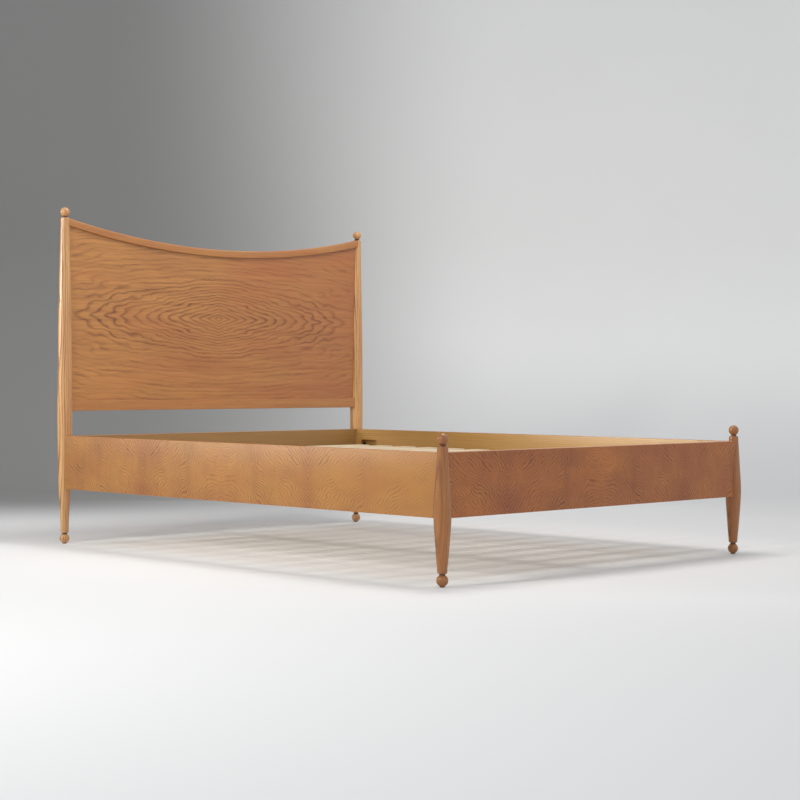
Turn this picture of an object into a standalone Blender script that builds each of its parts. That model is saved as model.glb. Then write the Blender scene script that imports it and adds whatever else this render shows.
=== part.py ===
"""A queen-size timber bed with turned posts, a framed headboard and a low foot rail.

Frame: origin on the floor under the middle of the bed, +Z up, +Y towards the headboard and +X to the
right of someone looking at the bed from its foot. Metres throughout.
"""

import math

import bmesh
import bpy
from mathutils import Vector

# ---- Driving dimensions -------------------------------------------------------------------------
GAP = 0.0003  # clearance left between pieces that touch

HALF_X = 0.810  # bed's middle to a post's axis, across the bed
HALF_Y = 1.044  # bed's middle to a post's axis, along the bed
HEAD_HEIGHT = 1.347  # floor to the top of a head post's finial
FOOT_HEIGHT = 0.492  # floor to the top of a foot post's finial

RAIL_THICK = 0.032
RAIL_LOW = 0.220
RAIL_HIGH = 0.4315
SEAT = 0.009  # post's axis to the flat seat that a rail's end butts on

CREST_RADIUS = 3.74  # headboard's dished top edge
CREST_LOW = 1.2176  # height of that edge at its lowest, in the middle
CAP_HEIGHT = 0.030
CAP_THICK = 0.030
SILL_LOW = 0.532  # headboard bottom rail
SILL_HIGH = 0.573
SILL_THICK = 0.030
SILL_SEAT = 0.012
PANEL_THICK = 0.012
PANEL_LAP = 0.006  # how far the panel's edge runs into its grooves
PANEL_EDGE = 0.010  # post's axis to the panel's side edge

BALL_RADIUS = 0.019
FOOT_BALL_RADIUS = 0.0195
NECK_RADIUS = 0.010
NECK_DROP = 0.0415  # finial's top to the post's shoulder
POST_BOTTOM = 0.0435
FOOT_BALL_CENTRE = 0.0205
DOWEL_RADIUS = 0.005
DOWEL_LENGTH = 0.0105
GLIDE_RADIUS = 0.0085
GLIDE_THICK = 0.002
PIN_RADIUS = 0.002
PIN_TOP = 0.014

SLAT_COUNT = 14
SLAT_PITCH = 0.148
SLAT_WIDTH = 0.072
SLAT_THICK = 0.018
SLAT_TOP = 0.362
SLAT_HALF_LENGTH = 0.785
STRAP_X = 0.500
STRAP_WIDTH = 0.030
STRAP_THICK = 0.0015
CLEAT_WIDTH = 0.025
CLEAT_HEIGHT = 0.030
CLEAT_HALF_LENGTH = 1.020
BEAM_WIDTH = 0.045
BEAM_HEIGHT = 0.070
PLATE = 0.0025  # steel of the beam's brackets
BRACKET_REACH = 0.043
BRACKET_HALF_WIDTH = 0.046
BRACKET_HIGH = 0.335
SCREW_X = 0.0355
SCREW_Z = 0.303

BOLT_Z = 0.365
BOLT_RADIUS = 0.004
POCKET_NEAR = 0.049  # post's axis to the pocket's two ends
POCKET_FAR = 0.150
POCKET_LOW = 0.346
POCKET_HIGH = 0.384
POCKET_DEPTH = 0.025
WASHER_RADIUS = 0.008
WASHER_THICK = 0.0016
HEX_RADIUS = 0.0075
HEX_THICK = 0.0055
INSERT_RADIUS = 0.006
INSERT_LENGTH = 0.020

# Turned outlines: (height above the floor, radius) where the turner would set the callipers.
HEAD_STATIONS = [(1.3025, 0.0178), (1.155, 0.0200), (0.950, 0.0250), (0.720, 0.0278), (0.506, 0.0295),
                 (0.300, 0.0265), (0.190, 0.0230), (0.100, 0.0175), (0.0455, 0.0160)]
FOOT_STATIONS = [(0.4475, 0.0173), (0.345, 0.0238), (0.242, 0.0295), (0.138, 0.0238), (0.0455, 0.0160)]
SHOULDER_ROUND = 0.003  # rounding where a post's end meets its side

# Rail tenons and their heights: two on each end of a cross rail, one on each end of a side rail.
TENON_HALF_THICK = 0.005
CROSS_TENONS = [(0.378, 0.418), (0.285, 0.325)]
CROSS_TENON_TIP = -0.008
SIDE_TENON = (0.235, 0.275)
SIDE_TENON_TIP = -0.006
SILL_TENON = (0.5375, 0.5640)
SILL_TENON_TIP = -0.006
CAP_TENON_RISE = (0.0075, 0.0175)  # above the top rail's lower edge at the post
CAP_TENON_TIP = -0.004

SIDES = {"left": -1, "right": 1}
ENDS = {"foot": -1, "head": 1}

# name: (colour, roughness, metallic)
FINISHES = {
    "figured_ash_veneer": ((0.56, 0.27, 0.12), 0.35, 0.0),
    "turned_ash": ((0.50, 0.24, 0.10), 0.35, 0.0),
    "slat_timber": ((0.72, 0.57, 0.38), 0.60, 0.0),
    "cleat_timber": ((0.58, 0.38, 0.20), 0.60, 0.0),
    "webbing": ((0.80, 0.78, 0.72), 0.90, 0.0),
    "zinc_steel": ((0.55, 0.56, 0.57), 0.40, 1.0),
    "black_steel": ((0.02, 0.02, 0.02), 0.45, 0.6),
    "nylon": ((0.10, 0.09, 0.08), 0.60, 0.0),
}


# ---- Scene helpers ------------------------------------------------------------------------------
def clear_scene():
    """Remove every object that the opening file holds."""
    for old in list(bpy.data.objects):
        bpy.data.objects.remove(old, do_unlink=True)


def new_collection(name):
    """A collection linked to the scene."""
    collection = bpy.data.collections.new(name)
    bpy.context.scene.collection.children.link(collection)
    return collection


def make_materials():
    """One Principled material for each finish."""
    made = {}
    for name, (colour, roughness, metallic) in FINISHES.items():
        material = bpy.data.materials.new(name)
        material.use_nodes = True
        shader = material.node_tree.nodes["Principled BSDF"]
        shader.inputs["Base Color"].default_value = (*colour, 1.0)
        shader.inputs["Roughness"].default_value = roughness
        shader.inputs["Metallic"].default_value = metallic
        made[name] = material
    return made


clear_scene()
BED = new_collection("bed")
CUTTERS = new_collection("cutters")
MATERIALS = make_materials()


def add_object(name, mesh, finish, parent=None):
    """Link a mesh as a piece of the bed, or as a hidden cutter when it has no finish."""
    piece = bpy.data.objects.new(name, mesh)
    if finish is None:
        CUTTERS.objects.link(piece)
        piece.hide_render = True
        piece.display_type = "WIRE"
    else:
        BED.objects.link(piece)
        mesh.materials.append(MATERIALS[finish])
        piece.parent = parent
    return piece


def mesh_from(bm, name):
    """Turn a bmesh into a mesh."""
    mesh = bpy.data.meshes.new(name)
    bm.to_mesh(mesh)
    bm.free()
    return mesh


def box(name, low, high, finish=None, round_axis=None, radius=0.002, segments=1, parent=None):
    """A box between two corners, with the edges that run along round_axis rounded."""
    low = Vector(low)
    high = Vector(high)
    bm = bmesh.new()
    bmesh.ops.create_cube(bm, size=1.0)
    bmesh.ops.scale(bm, vec=high - low, verts=bm.verts)
    if round_axis is not None:
        along = [edge for edge in bm.edges
                 if abs((edge.verts[1].co - edge.verts[0].co).normalized()[round_axis]) > 0.99]
        bmesh.ops.bevel(bm, geom=along, offset=radius, segments=segments, profile=0.5, affect="EDGES")
    piece = add_object(name, mesh_from(bm, name), finish, parent)
    piece.location = (low + high) / 2
    if parent is not None:
        piece.location -= parent.location
    return piece


def corner_box(name, side, end, inward_x, inward_y, heights, **options):
    """A box set out from a post's axis, with both distances measured towards the bed's middle."""
    across = sorted(side * (HALF_X - distance) for distance in inward_x)
    along = sorted(end * (HALF_Y - distance) for distance in inward_y)
    low = (across[0], along[0], heights[0])
    high = (across[1], along[1], heights[1])
    return box(name, low, high, **options)


def rod(name, start, stop, radius, finish=None, sides=16):
    """A straight bar between two points."""
    start = Vector(start)
    stop = Vector(stop)
    bm = bmesh.new()
    bmesh.ops.create_cone(bm, cap_ends=True, segments=sides, radius1=radius, radius2=radius,
                          depth=(stop - start).length)
    mesh = mesh_from(bm, name)
    smooth(mesh)
    piece = add_object(name, mesh, finish)
    piece.location = (start + stop) / 2
    piece.rotation_euler = (stop - start).to_track_quat("Z", "Y").to_euler()
    return piece


def smooth(mesh):
    """Shade round faces smooth and keep real edges sharp."""
    mesh.shade_smooth()
    mesh.set_sharp_from_angle(angle=math.radians(40))


def lathe(name, profile, location, finish, sides, rotation=(0, 0, 0)):
    """Turn a profile of (radius, height) points, given from top to bottom, about its own Z axis."""
    mesh = bpy.data.meshes.new(name)
    points = [(radius, 0.0, height) for radius, height in profile]
    edges = [(i, i + 1) for i in range(len(points) - 1)]
    mesh.from_pydata(points, edges, [])
    piece = add_object(name, mesh, finish)
    piece.location = location
    piece.rotation_euler = rotation
    screw = piece.modifiers.new("Turning", "SCREW")
    screw.steps = sides
    screw.render_steps = sides
    screw.use_merge_vertices = True
    screw.merge_threshold = 0.00005
    screw.use_smooth_shade = True
    return piece


def standing_slab(name, outline, thickness, finish=None):
    """A flat outline of (x, z) points, standing across the bed between the head posts."""
    curve = bpy.data.curves.new(name, "CURVE")
    curve.dimensions = "2D"
    curve.fill_mode = "BOTH"
    curve.extrude = thickness / 2
    spline = curve.splines.new("POLY")
    spline.points.add(len(outline) - 1)
    for point, (x, z) in zip(spline.points, outline):
        point.co = (x, z, 0.0, 1.0)
    spline.use_cyclic_u = True
    guide = bpy.data.objects.new(name + "_outline", curve)
    CUTTERS.objects.link(guide)
    guide.location = (0, HALF_Y, 0)
    guide.rotation_euler = (math.radians(90), 0, 0)
    bpy.context.view_layer.update()
    evaluated = guide.evaluated_get(bpy.context.evaluated_depsgraph_get())
    mesh = bpy.data.meshes.new_from_object(evaluated)
    bm = bmesh.new()
    bm.from_mesh(mesh)
    bmesh.ops.remove_doubles(bm, verts=bm.verts, dist=0.00005)
    bm.to_mesh(mesh)
    bm.free()
    mesh.materials.clear()
    piece = add_object(name, mesh, finish)
    piece.matrix_world = guide.matrix_world.copy()
    bpy.data.objects.remove(guide, do_unlink=True)
    return piece


def boolean(piece, tool, operation):
    """Add one Boolean modifier."""
    modifier = piece.modifiers.new(tool.name, "BOOLEAN")
    modifier.operation = operation
    modifier.solver = "EXACT"
    modifier.object = tool


def cut(piece, *tools):
    """Take the tools' shapes out of a piece."""
    for tool in tools:
        boolean(piece, tool, "DIFFERENCE")


def join(piece, *tools):
    """Add the tools' shapes to a piece."""
    for tool in tools:
        boolean(piece, tool, "UNION")


def corners():
    """Every post position as (name, side, end)."""
    return [(f"{end_name}_{side_name}", side, end)
            for end_name, end in ENDS.items() for side_name, side in SIDES.items()]


def span(low, high, extra):
    """A height range widened by extra at both ends."""
    return (low - extra, high + extra)


# ---- Posts, finials, feet and glides ------------------------------------------------------------
def turned_curve(stations, steps):
    """Smooth (radius, height) points through the callipers' stations, top to bottom."""
    slopes = []
    for i in range(len(stations)):
        before = stations[max(i - 1, 0)]
        after = stations[min(i + 1, len(stations) - 1)]
        slopes.append((after[1] - before[1]) / (after[0] - before[0]))
    points = []
    for i in range(len(stations) - 1):
        (z0, r0), (z1, r1) = stations[i], stations[i + 1]
        drop = z1 - z0
        for step in range(steps):
            t = step / steps
            rise = 3 * t ** 2 - 2 * t ** 3
            lead = t ** 3 - 2 * t ** 2 + t
            trail = t ** 3 - t ** 2
            radius = r0 + (r1 - r0) * rise + drop * (lead * slopes[i] + trail * slopes[i + 1])
            points.append((radius, z0 + drop * t))
    points.append((stations[-1][1], stations[-1][0]))
    return points


def post_profile(stations, shoulder, steps):
    """A post's half outline, with a dowel bore in each end."""
    bore = DOWEL_RADIUS + GAP
    depth = DOWEL_LENGTH + 0.0005
    return [(0.0, shoulder - depth), (bore, shoulder - depth), (bore, shoulder),
            (stations[0][1] - SHOULDER_ROUND, shoulder),
            *turned_curve(stations, steps),
            (stations[-1][1] - SHOULDER_ROUND, POST_BOTTOM),
            (bore, POST_BOTTOM), (bore, POST_BOTTOM + depth), (0.0, POST_BOTTOM + depth)]


def crest(x):
    """Height of the headboard's top edge at a distance across the bed."""
    return CREST_LOW + CREST_RADIUS - math.sqrt(CREST_RADIUS ** 2 - x ** 2)


def dished_outline(half_width, low, high, count=24):
    """Outline between two heights, each a number or a function of x."""
    stations = [half_width * (2 * i / count - 1) for i in range(count + 1)]
    upper = [(x, high(x)) for x in reversed(stations)]
    if callable(low):
        return [(x, low(x)) for x in stations] + upper
    return [(-half_width, low), (half_width, low)] + upper


def cut_rail_joints(post, name, side, end):
    """Notch a post for its two rails, and bore it for their tenons and the bolt's insert."""
    heights = span(RAIL_LOW, RAIL_HIGH, GAP)
    outer = -RAIL_THICK / 2 - GAP
    reach = 0.060
    cut(post,
        corner_box(f"notch_x_{name}", side, end, (SEAT, reach), (outer, reach), heights),
        corner_box(f"notch_y_{name}", side, end, (outer, reach), (SEAT, reach), heights))
    cheek = TENON_HALF_THICK + GAP
    for number, (low, high) in enumerate(CROSS_TENONS):
        cut(post, corner_box(f"mortise_x{number}_{name}", side, end, (CROSS_TENON_TIP - GAP, 0.012),
                             (-cheek, cheek), span(low, high, GAP)))
    cut(post, corner_box(f"mortise_y_{name}", side, end, (-cheek, cheek), (SIDE_TENON_TIP - GAP, 0.012),
                         span(*SIDE_TENON, GAP)))
    x = side * HALF_X
    deep = end * (HALF_Y - SEAT + INSERT_LENGTH + 2 * GAP)
    mouth = end * (HALF_Y - 0.012)
    cut(post, rod(f"insert_bore_{name}", (x, mouth, BOLT_Z), (x, deep, BOLT_Z), INSERT_RADIUS + GAP))


def headboard_cutters():
    """Shapes that both head posts make room for: the top rail's seat and the panel's edge."""
    seat = standing_slab("cap_seat", dished_outline(HALF_X - SEAT, lambda x: crest(x) - CAP_HEIGHT - GAP,
                                                    lambda x: crest(x) + 0.020), 0.060)
    groove = standing_slab("panel_groove", dished_outline(HALF_X - PANEL_EDGE + GAP,
                                                          SILL_HIGH - PANEL_LAP - GAP,
                                                          lambda x: crest(x) - CAP_HEIGHT + PANEL_LAP + GAP),
                           PANEL_THICK + 2 * GAP)
    return seat, groove


def cap_tenon_heights():
    """Heights of the top rail's tenons, from its lower edge where it meets the post."""
    seat_low = crest(HALF_X - SEAT) - CAP_HEIGHT
    return tuple(seat_low + rise for rise in CAP_TENON_RISE)


def cut_headboard_joints(post, name, side):
    """House the headboard's two rails and let their tenons in."""
    end = ENDS["head"]
    cheek = TENON_HALF_THICK + GAP
    half_sill = SILL_THICK / 2 + GAP
    cut(post,
        corner_box(f"cap_mortise_{name}", side, end, (CAP_TENON_TIP - GAP, 0.012), (-cheek, cheek),
                   span(*cap_tenon_heights(), GAP)),
        corner_box(f"sill_housing_{name}", side, end, (SILL_SEAT, 0.060), (-half_sill, half_sill),
                   span(SILL_LOW, SILL_HIGH, GAP)),
        corner_box(f"sill_mortise_{name}", side, end, (SILL_TENON_TIP - GAP, 0.014), (-cheek, cheek),
                   span(*SILL_TENON, GAP)))


def make_posts():
    """Two tall head posts and two short foot posts."""
    shared_cutters = headboard_cutters()
    for name, side, end in corners():
        location = (side * HALF_X, end * HALF_Y, 0)
        if end == ENDS["head"]:
            profile = post_profile(HEAD_STATIONS, HEAD_HEIGHT - NECK_DROP, 2)
        else:
            profile = post_profile(FOOT_STATIONS, FOOT_HEIGHT - NECK_DROP, 4)
        post = lathe(f"{name.split('_')[0]}_post_{name.split('_')[1]}", profile, location, "turned_ash", 24)
        if end == ENDS["head"]:
            cut(post, *shared_cutters)
            cut_headboard_joints(post, name, side)
        cut_rail_joints(post, name, side, end)


def ball_arc(radius, centre, start_angle, stop_angle, steps=7):
    """Points down a ball's side. Angles are measured from straight up, in radians."""
    angles = [start_angle + (stop_angle - start_angle) * i / steps for i in range(steps + 1)]
    return [(radius * math.sin(angle), centre + radius * math.cos(angle)) for angle in angles]


def make_finials():
    """A ball on a narrow neck, dowelled into the top of each post."""
    neck_angle = math.pi - math.asin(NECK_RADIUS / BALL_RADIUS)
    shoulder = -NECK_DROP + GAP
    profile = [(0.0, 0.0), *ball_arc(BALL_RADIUS, -BALL_RADIUS, 0.0, neck_angle)[1:],
               (NECK_RADIUS, shoulder), (DOWEL_RADIUS, shoulder),
               (DOWEL_RADIUS, -NECK_DROP - DOWEL_LENGTH), (0.0, -NECK_DROP - DOWEL_LENGTH)]
    for name, side, end in corners():
        height = HEAD_HEIGHT if end == ENDS["head"] else FOOT_HEIGHT
        lathe(f"finial_{name}", profile, (side * HALF_X, end * HALF_Y, height), "turned_ash", 20)


def make_feet():
    """A ball foot dowelled into each post, bored underneath for its glide's pin."""
    neck_angle = math.asin(NECK_RADIUS / FOOT_BALL_RADIUS)
    base = GLIDE_THICK + GAP
    base_angle = math.pi - math.acos((FOOT_BALL_CENTRE - base) / FOOT_BALL_RADIUS)
    bore = PIN_RADIUS + GAP
    dowel_top = POST_BOTTOM + DOWEL_LENGTH
    profile = [(0.0, dowel_top), (DOWEL_RADIUS, dowel_top), (DOWEL_RADIUS, POST_BOTTOM - GAP),
               (NECK_RADIUS, POST_BOTTOM - GAP),
               *ball_arc(FOOT_BALL_RADIUS, FOOT_BALL_CENTRE, neck_angle, base_angle),
               (bore, base), (bore, PIN_TOP + GAP), (0.0, PIN_TOP + GAP)]
    glide = [(0.0, PIN_TOP), (PIN_RADIUS, PIN_TOP), (PIN_RADIUS, GLIDE_THICK),
             (GLIDE_RADIUS, GLIDE_THICK), (GLIDE_RADIUS, 0.0), (0.0, 0.0)]
    for name, side, end in corners():
        location = (side * HALF_X, end * HALF_Y, 0)
        lathe(f"ball_foot_{name}", profile, location, "turned_ash", 20)
        lathe(f"glide_{name}", glide, location, "nylon", 12)


# ---- Headboard ----------------------------------------------------------------------------------
def make_headboard():
    """A thin panel held in grooves between a dished top rail, a bottom rail and the two posts."""
    seat_x = HALF_X - SEAT - GAP
    cap = standing_slab("headboard_top_rail", dished_outline(seat_x, lambda x: crest(x) - CAP_HEIGHT, crest),
                        CAP_THICK, "figured_ash_veneer")
    sill_x = HALF_X - SILL_SEAT - GAP
    half_sill = SILL_THICK / 2
    sill = box("headboard_bottom_rail", (-sill_x, HALF_Y - half_sill, SILL_LOW),
               (sill_x, HALF_Y + half_sill, SILL_HIGH), finish="figured_ash_veneer", round_axis=0)
    standing_slab("headboard_panel", dished_outline(HALF_X - PANEL_EDGE, SILL_HIGH - PANEL_LAP,
                                                    lambda x: crest(x) - CAP_HEIGHT + PANEL_LAP),
                  PANEL_THICK, "figured_ash_veneer")
    for side_name, side in SIDES.items():
        cheeks = (-TENON_HALF_THICK, TENON_HALF_THICK)
        head = ENDS["head"]
        join(cap, corner_box(f"cap_tenon_{side_name}", side, head, (CAP_TENON_TIP, SEAT + 0.004), cheeks,
                             cap_tenon_heights()))
        join(sill, corner_box(f"sill_tenon_{side_name}", side, head, (SILL_TENON_TIP, SILL_SEAT + 0.004),
                              cheeks, SILL_TENON))
    through = dished_outline(HALF_X + 0.020, SILL_HIGH - PANEL_LAP - GAP,
                             lambda x: crest(x) - CAP_HEIGHT + PANEL_LAP + GAP, count=24)
    groove = standing_slab("panel_groove_through", through, PANEL_THICK + 2 * GAP)
    cut(cap, groove)
    cut(sill, groove)


# ---- Rails --------------------------------------------------------------------------------------
def mitre_cutter(name, side, end, toward_x):
    """A square block turned 45 degrees, whose face lies on the diagonal where two rails meet."""
    size = 0.020
    middle = (SEAT + RAIL_THICK / 2) / 2
    offset = (size / 2 - GAP / 2) / math.sqrt(2)
    inward_x = middle + (offset if toward_x else -offset)
    inward_y = middle - (offset if toward_x else -offset)
    bm = bmesh.new()
    bmesh.ops.create_cube(bm, size=1.0)
    bmesh.ops.scale(bm, vec=(size, size, 0.300), verts=bm.verts)
    block = add_object(name, mesh_from(bm, name), None)
    block.location = (side * (HALF_X - inward_x), end * (HALF_Y - inward_y), (RAIL_LOW + RAIL_HIGH) / 2)
    block.rotation_euler = (0, 0, math.radians(45))
    return block


def make_cross_rail(name, end_name):
    """A rail across the bed, with two tenons on each end."""
    end = ENDS[end_name]
    half_length = HALF_X - SEAT - GAP
    half_thick = RAIL_THICK / 2
    middle = end * HALF_Y
    rail = box(name, (-half_length, middle - half_thick, RAIL_LOW),
               (half_length, middle + half_thick, RAIL_HIGH), finish="figured_ash_veneer", round_axis=0,
               segments=2)
    for side_name, side in SIDES.items():
        cut(rail, mitre_cutter(f"mitre_x_{end_name}_{side_name}", side, end, False))
        for number, heights in enumerate(CROSS_TENONS):
            join(rail, corner_box(f"tenon_x{number}_{end_name}_{side_name}", side, end,
                                  (CROSS_TENON_TIP, SEAT + 0.004),
                                  (-TENON_HALF_THICK, TENON_HALF_THICK), heights))
    for screw_side in SIDES.values():
        x = screw_side * SCREW_X
        inner = end * (HALF_Y - half_thick - 0.002)
        deep = end * (HALF_Y + 0.0065)
        cut(rail, rod(f"screw_hole_{end_name}_{screw_side}", (x, inner, SCREW_Z), (x, deep, SCREW_Z),
                      PIN_RADIUS + GAP, sides=12))


def make_side_rail(side_name):
    """A rail along the bed, with a stub tenon, a bolt hole and a bolt pocket at each end."""
    side = SIDES[side_name]
    half_length = HALF_Y - SEAT - GAP
    half_thick = RAIL_THICK / 2
    middle = side * HALF_X
    rail = box(f"side_rail_{side_name}", (middle - half_thick, -half_length, RAIL_LOW),
               (middle + half_thick, half_length, RAIL_HIGH), finish="figured_ash_veneer", round_axis=1,
               segments=2)
    for end_name, end in ENDS.items():
        corner = f"{end_name}_{side_name}"
        cut(rail, mitre_cutter(f"mitre_y_{corner}", side, end, True))
        join(rail, corner_box(f"tenon_y_{corner}", side, end, (-TENON_HALF_THICK, TENON_HALF_THICK),
                              (SIDE_TENON_TIP, SEAT + 0.004), SIDE_TENON))
        start = (middle, end * (HALF_Y - 0.005), BOLT_Z)
        stop = (middle, end * (HALF_Y - POCKET_NEAR - 0.004), BOLT_Z)
        cut(rail, rod(f"bolt_hole_{corner}", start, stop, BOLT_RADIUS + GAP))
        cut(rail, corner_box(f"bolt_pocket_{corner}", side, end,
                             (half_thick - POCKET_DEPTH, half_thick + 0.010), (POCKET_NEAR, POCKET_FAR),
                             (POCKET_LOW, POCKET_HIGH), round_axis=0, radius=0.006, segments=3))


def make_fasteners():
    """At each corner a bed bolt from the pocket, through its washer, into an insert in the post."""
    for name, side, end in corners():
        x = side * HALF_X

        def at(inward):
            return (x, end * (HALF_Y - inward), BOLT_Z)

        insert = rod(f"insert_nut_{name}", at(SEAT - GAP), at(SEAT - GAP - INSERT_LENGTH), INSERT_RADIUS,
                     "zinc_steel", 12)
        cut(insert, rod(f"insert_thread_{name}", at(0.02), at(-0.02), BOLT_RADIUS + GAP, sides=12))
        seat = POCKET_NEAR + GAP
        washer = rod(f"washer_{name}", at(seat), at(seat + WASHER_THICK), WASHER_RADIUS, "zinc_steel")
        cut(washer, rod(f"washer_hole_{name}", at(seat - 0.005), at(seat + 0.005), BOLT_RADIUS + GAP,
                        sides=12))
        under_head = seat + WASHER_THICK + GAP
        bolt = rod(f"bed_bolt_{name}", at(under_head), at(under_head + HEX_THICK), HEX_RADIUS,
                   "black_steel", 6)
        join(bolt, rod(f"bolt_shank_{name}", at(under_head + 0.002), at(SEAT - INSERT_LENGTH + 0.002),
                       BOLT_RADIUS, sides=12))


# ---- Slat supports and slats --------------------------------------------------------------------
def make_supports():
    """Cleats inside the side rails, and a middle beam hung in a steel stirrup at each end."""
    slat_low = SLAT_TOP - SLAT_THICK
    top = slat_low - GAP
    inner = HALF_X - RAIL_THICK / 2 - GAP
    for side_name, side in SIDES.items():
        xs = sorted((side * inner, side * (inner - CLEAT_WIDTH)))
        box(f"side_cleat_{side_name}", (xs[0], -CLEAT_HALF_LENGTH, top - CLEAT_HEIGHT),
            (xs[1], CLEAT_HALF_LENGTH, top), finish="cleat_timber", round_axis=1)
    half_beam = BEAM_WIDTH / 2
    beam_low = top - BEAM_HEIGHT
    rail_face = HALF_Y - RAIL_THICK / 2 - GAP
    beam_end = rail_face - PLATE - GAP
    box("centre_beam", (-half_beam, -beam_end, beam_low), (half_beam, beam_end, top),
        finish="cleat_timber", round_axis=1)
    for end_name, end in ENDS.items():
        make_bracket(end_name, end, rail_face, beam_low - GAP)


def make_bracket(end_name, end, rail_face, cradle):
    """A folded stirrup: a back plate with two ears, a floor and two cheeks around the beam's end."""
    def slab(name, xs, ys, zs, finish=None):
        along = sorted(end * (rail_face - y) for y in ys)
        return box(name, (xs[0], along[0], zs[0]), (xs[1], along[1], zs[1]), finish=finish)

    half_slot = BEAM_WIDTH / 2 + GAP
    half_cradle = half_slot + PLATE
    bracket = slab(f"beam_bracket_{end_name}", (-BRACKET_HALF_WIDTH, BRACKET_HALF_WIDTH),
                   (0, BRACKET_REACH), (cradle - PLATE, BRACKET_HIGH), "zinc_steel")
    beyond = BRACKET_REACH + 0.010
    tall = (cradle - PLATE - 0.010, BRACKET_HIGH + 0.010)
    cut(bracket,
        slab(f"bracket_slot_{end_name}", (-half_slot, half_slot), (PLATE, beyond), (cradle, tall[1])),
        slab(f"bracket_ear_a_{end_name}", (-0.060, -half_cradle), (PLATE, beyond), tall),
        slab(f"bracket_ear_b_{end_name}", (half_cradle, 0.060), (PLATE, beyond), tall))
    screw = [(0.0, 0.003), (0.0025, 0.003), (0.004, 0.001), (0.004, 0.0), (PIN_RADIUS, 0.0),
             (PIN_RADIUS, -0.022), (0.0, -0.025)]
    for side_name, side in SIDES.items():
        x = side * SCREW_X
        face = end * (rail_face - PLATE - GAP)
        cut(bracket, rod(f"ear_hole_{end_name}_{side_name}", (x, end * rail_face + end * 0.005, SCREW_Z),
                         (x, end * (rail_face - 0.010), SCREW_Z), PIN_RADIUS + GAP, sides=12))
        lathe(f"bracket_screw_{end_name}_{side_name}", screw, (x, face, SCREW_Z), "zinc_steel", 12,
              rotation=(end * math.radians(90), 0, 0))


def make_slats():
    """Loose slats on two webbing straps. They lift out together, so they share one parent."""
    deck = bpy.data.objects.new("slat_deck", None)
    BED.objects.link(deck)
    deck.location = (0, 0, SLAT_TOP - SLAT_THICK)
    for i in range(SLAT_COUNT):
        y = (i - (SLAT_COUNT - 1) / 2) * SLAT_PITCH
        box(f"slat_{i + 1:02d}", (-SLAT_HALF_LENGTH, y - SLAT_WIDTH / 2, SLAT_TOP - SLAT_THICK),
            (SLAT_HALF_LENGTH, y + SLAT_WIDTH / 2, SLAT_TOP), finish="slat_timber", round_axis=0,
            radius=0.003, parent=deck)
    half_run = (SLAT_COUNT - 1) / 2 * SLAT_PITCH + SLAT_WIDTH * 0.4
    strap_top = SLAT_TOP - SLAT_THICK - GAP
    for side_name, side in SIDES.items():
        x = side * STRAP_X
        box(f"slat_strap_{side_name}", (x - STRAP_WIDTH / 2, -half_run, strap_top - STRAP_THICK),
            (x + STRAP_WIDTH / 2, half_run, strap_top), finish="webbing", parent=deck)


def main():
    """Build the whole bed."""
    make_posts()
    make_finials()
    make_feet()
    make_headboard()
    make_cross_rail("head_cross_rail", "head")
    make_cross_rail("foot_rail", "foot")
    make_side_rail("left")
    make_side_rail("right")
    make_fasteners()
    make_supports()
    make_slats()


main()
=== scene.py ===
"""The finished looks of a queen-size ash bed: turned posts, a framed headboard and a low foot rail.

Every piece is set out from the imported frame: +Z up, +Y towards the headboard, metres throughout.
"""

import logging
import math
from collections.abc import Iterable, Sequence
from dataclasses import dataclass, replace
from enum import Enum

import bmesh
import bpy
from mathutils import Matrix, Vector


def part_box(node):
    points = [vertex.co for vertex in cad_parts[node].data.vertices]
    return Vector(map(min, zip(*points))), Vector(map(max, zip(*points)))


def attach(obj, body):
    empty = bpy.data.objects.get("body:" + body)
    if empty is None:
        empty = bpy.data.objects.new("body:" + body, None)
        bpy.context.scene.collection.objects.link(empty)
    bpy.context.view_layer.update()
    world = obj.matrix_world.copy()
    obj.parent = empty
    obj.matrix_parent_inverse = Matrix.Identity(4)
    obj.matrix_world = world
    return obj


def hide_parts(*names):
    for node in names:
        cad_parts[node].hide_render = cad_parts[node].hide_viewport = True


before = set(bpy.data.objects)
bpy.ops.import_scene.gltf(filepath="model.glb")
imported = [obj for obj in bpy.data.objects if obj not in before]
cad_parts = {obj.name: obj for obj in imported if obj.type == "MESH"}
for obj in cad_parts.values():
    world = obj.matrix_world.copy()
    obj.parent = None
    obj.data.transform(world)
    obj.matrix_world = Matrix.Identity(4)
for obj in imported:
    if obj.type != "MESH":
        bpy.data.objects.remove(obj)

LOG = logging.getLogger("bed")
GAP = 0.0003  # clearance between pieces that touch
MM = 0.001

Material = bpy.types.Material
Mesh = bpy.types.Mesh
Socket = bpy.types.NodeSocket
Tree = bpy.types.NodeTree
Outline = Sequence[tuple[float, float]]
Setting = Socket | float | tuple


class Side(Enum):
    """The two long sides of the bed, by the sign of X."""

    LEFT = -1
    RIGHT = 1


class End(Enum):
    """The two ends of the bed, by the sign of Y."""

    FOOT = -1
    HEAD = 1


class Body(Enum):
    """The bodies that pieces ride on."""

    BED_FRAME = "bed_frame"
    SLAT_DECK = "slat_deck"


class Slot(Enum):
    """The record's material slots."""

    VENEER = "ash_veneer"
    TURNED = "turned_ash"
    SLAT = "slat_timber"
    CLEAT = "cleat_timber"
    WEBBING = "webbing"
    ZINC = "zinc_steel"
    BLACK = "black_steel"
    NYLON = "nylon"


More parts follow.
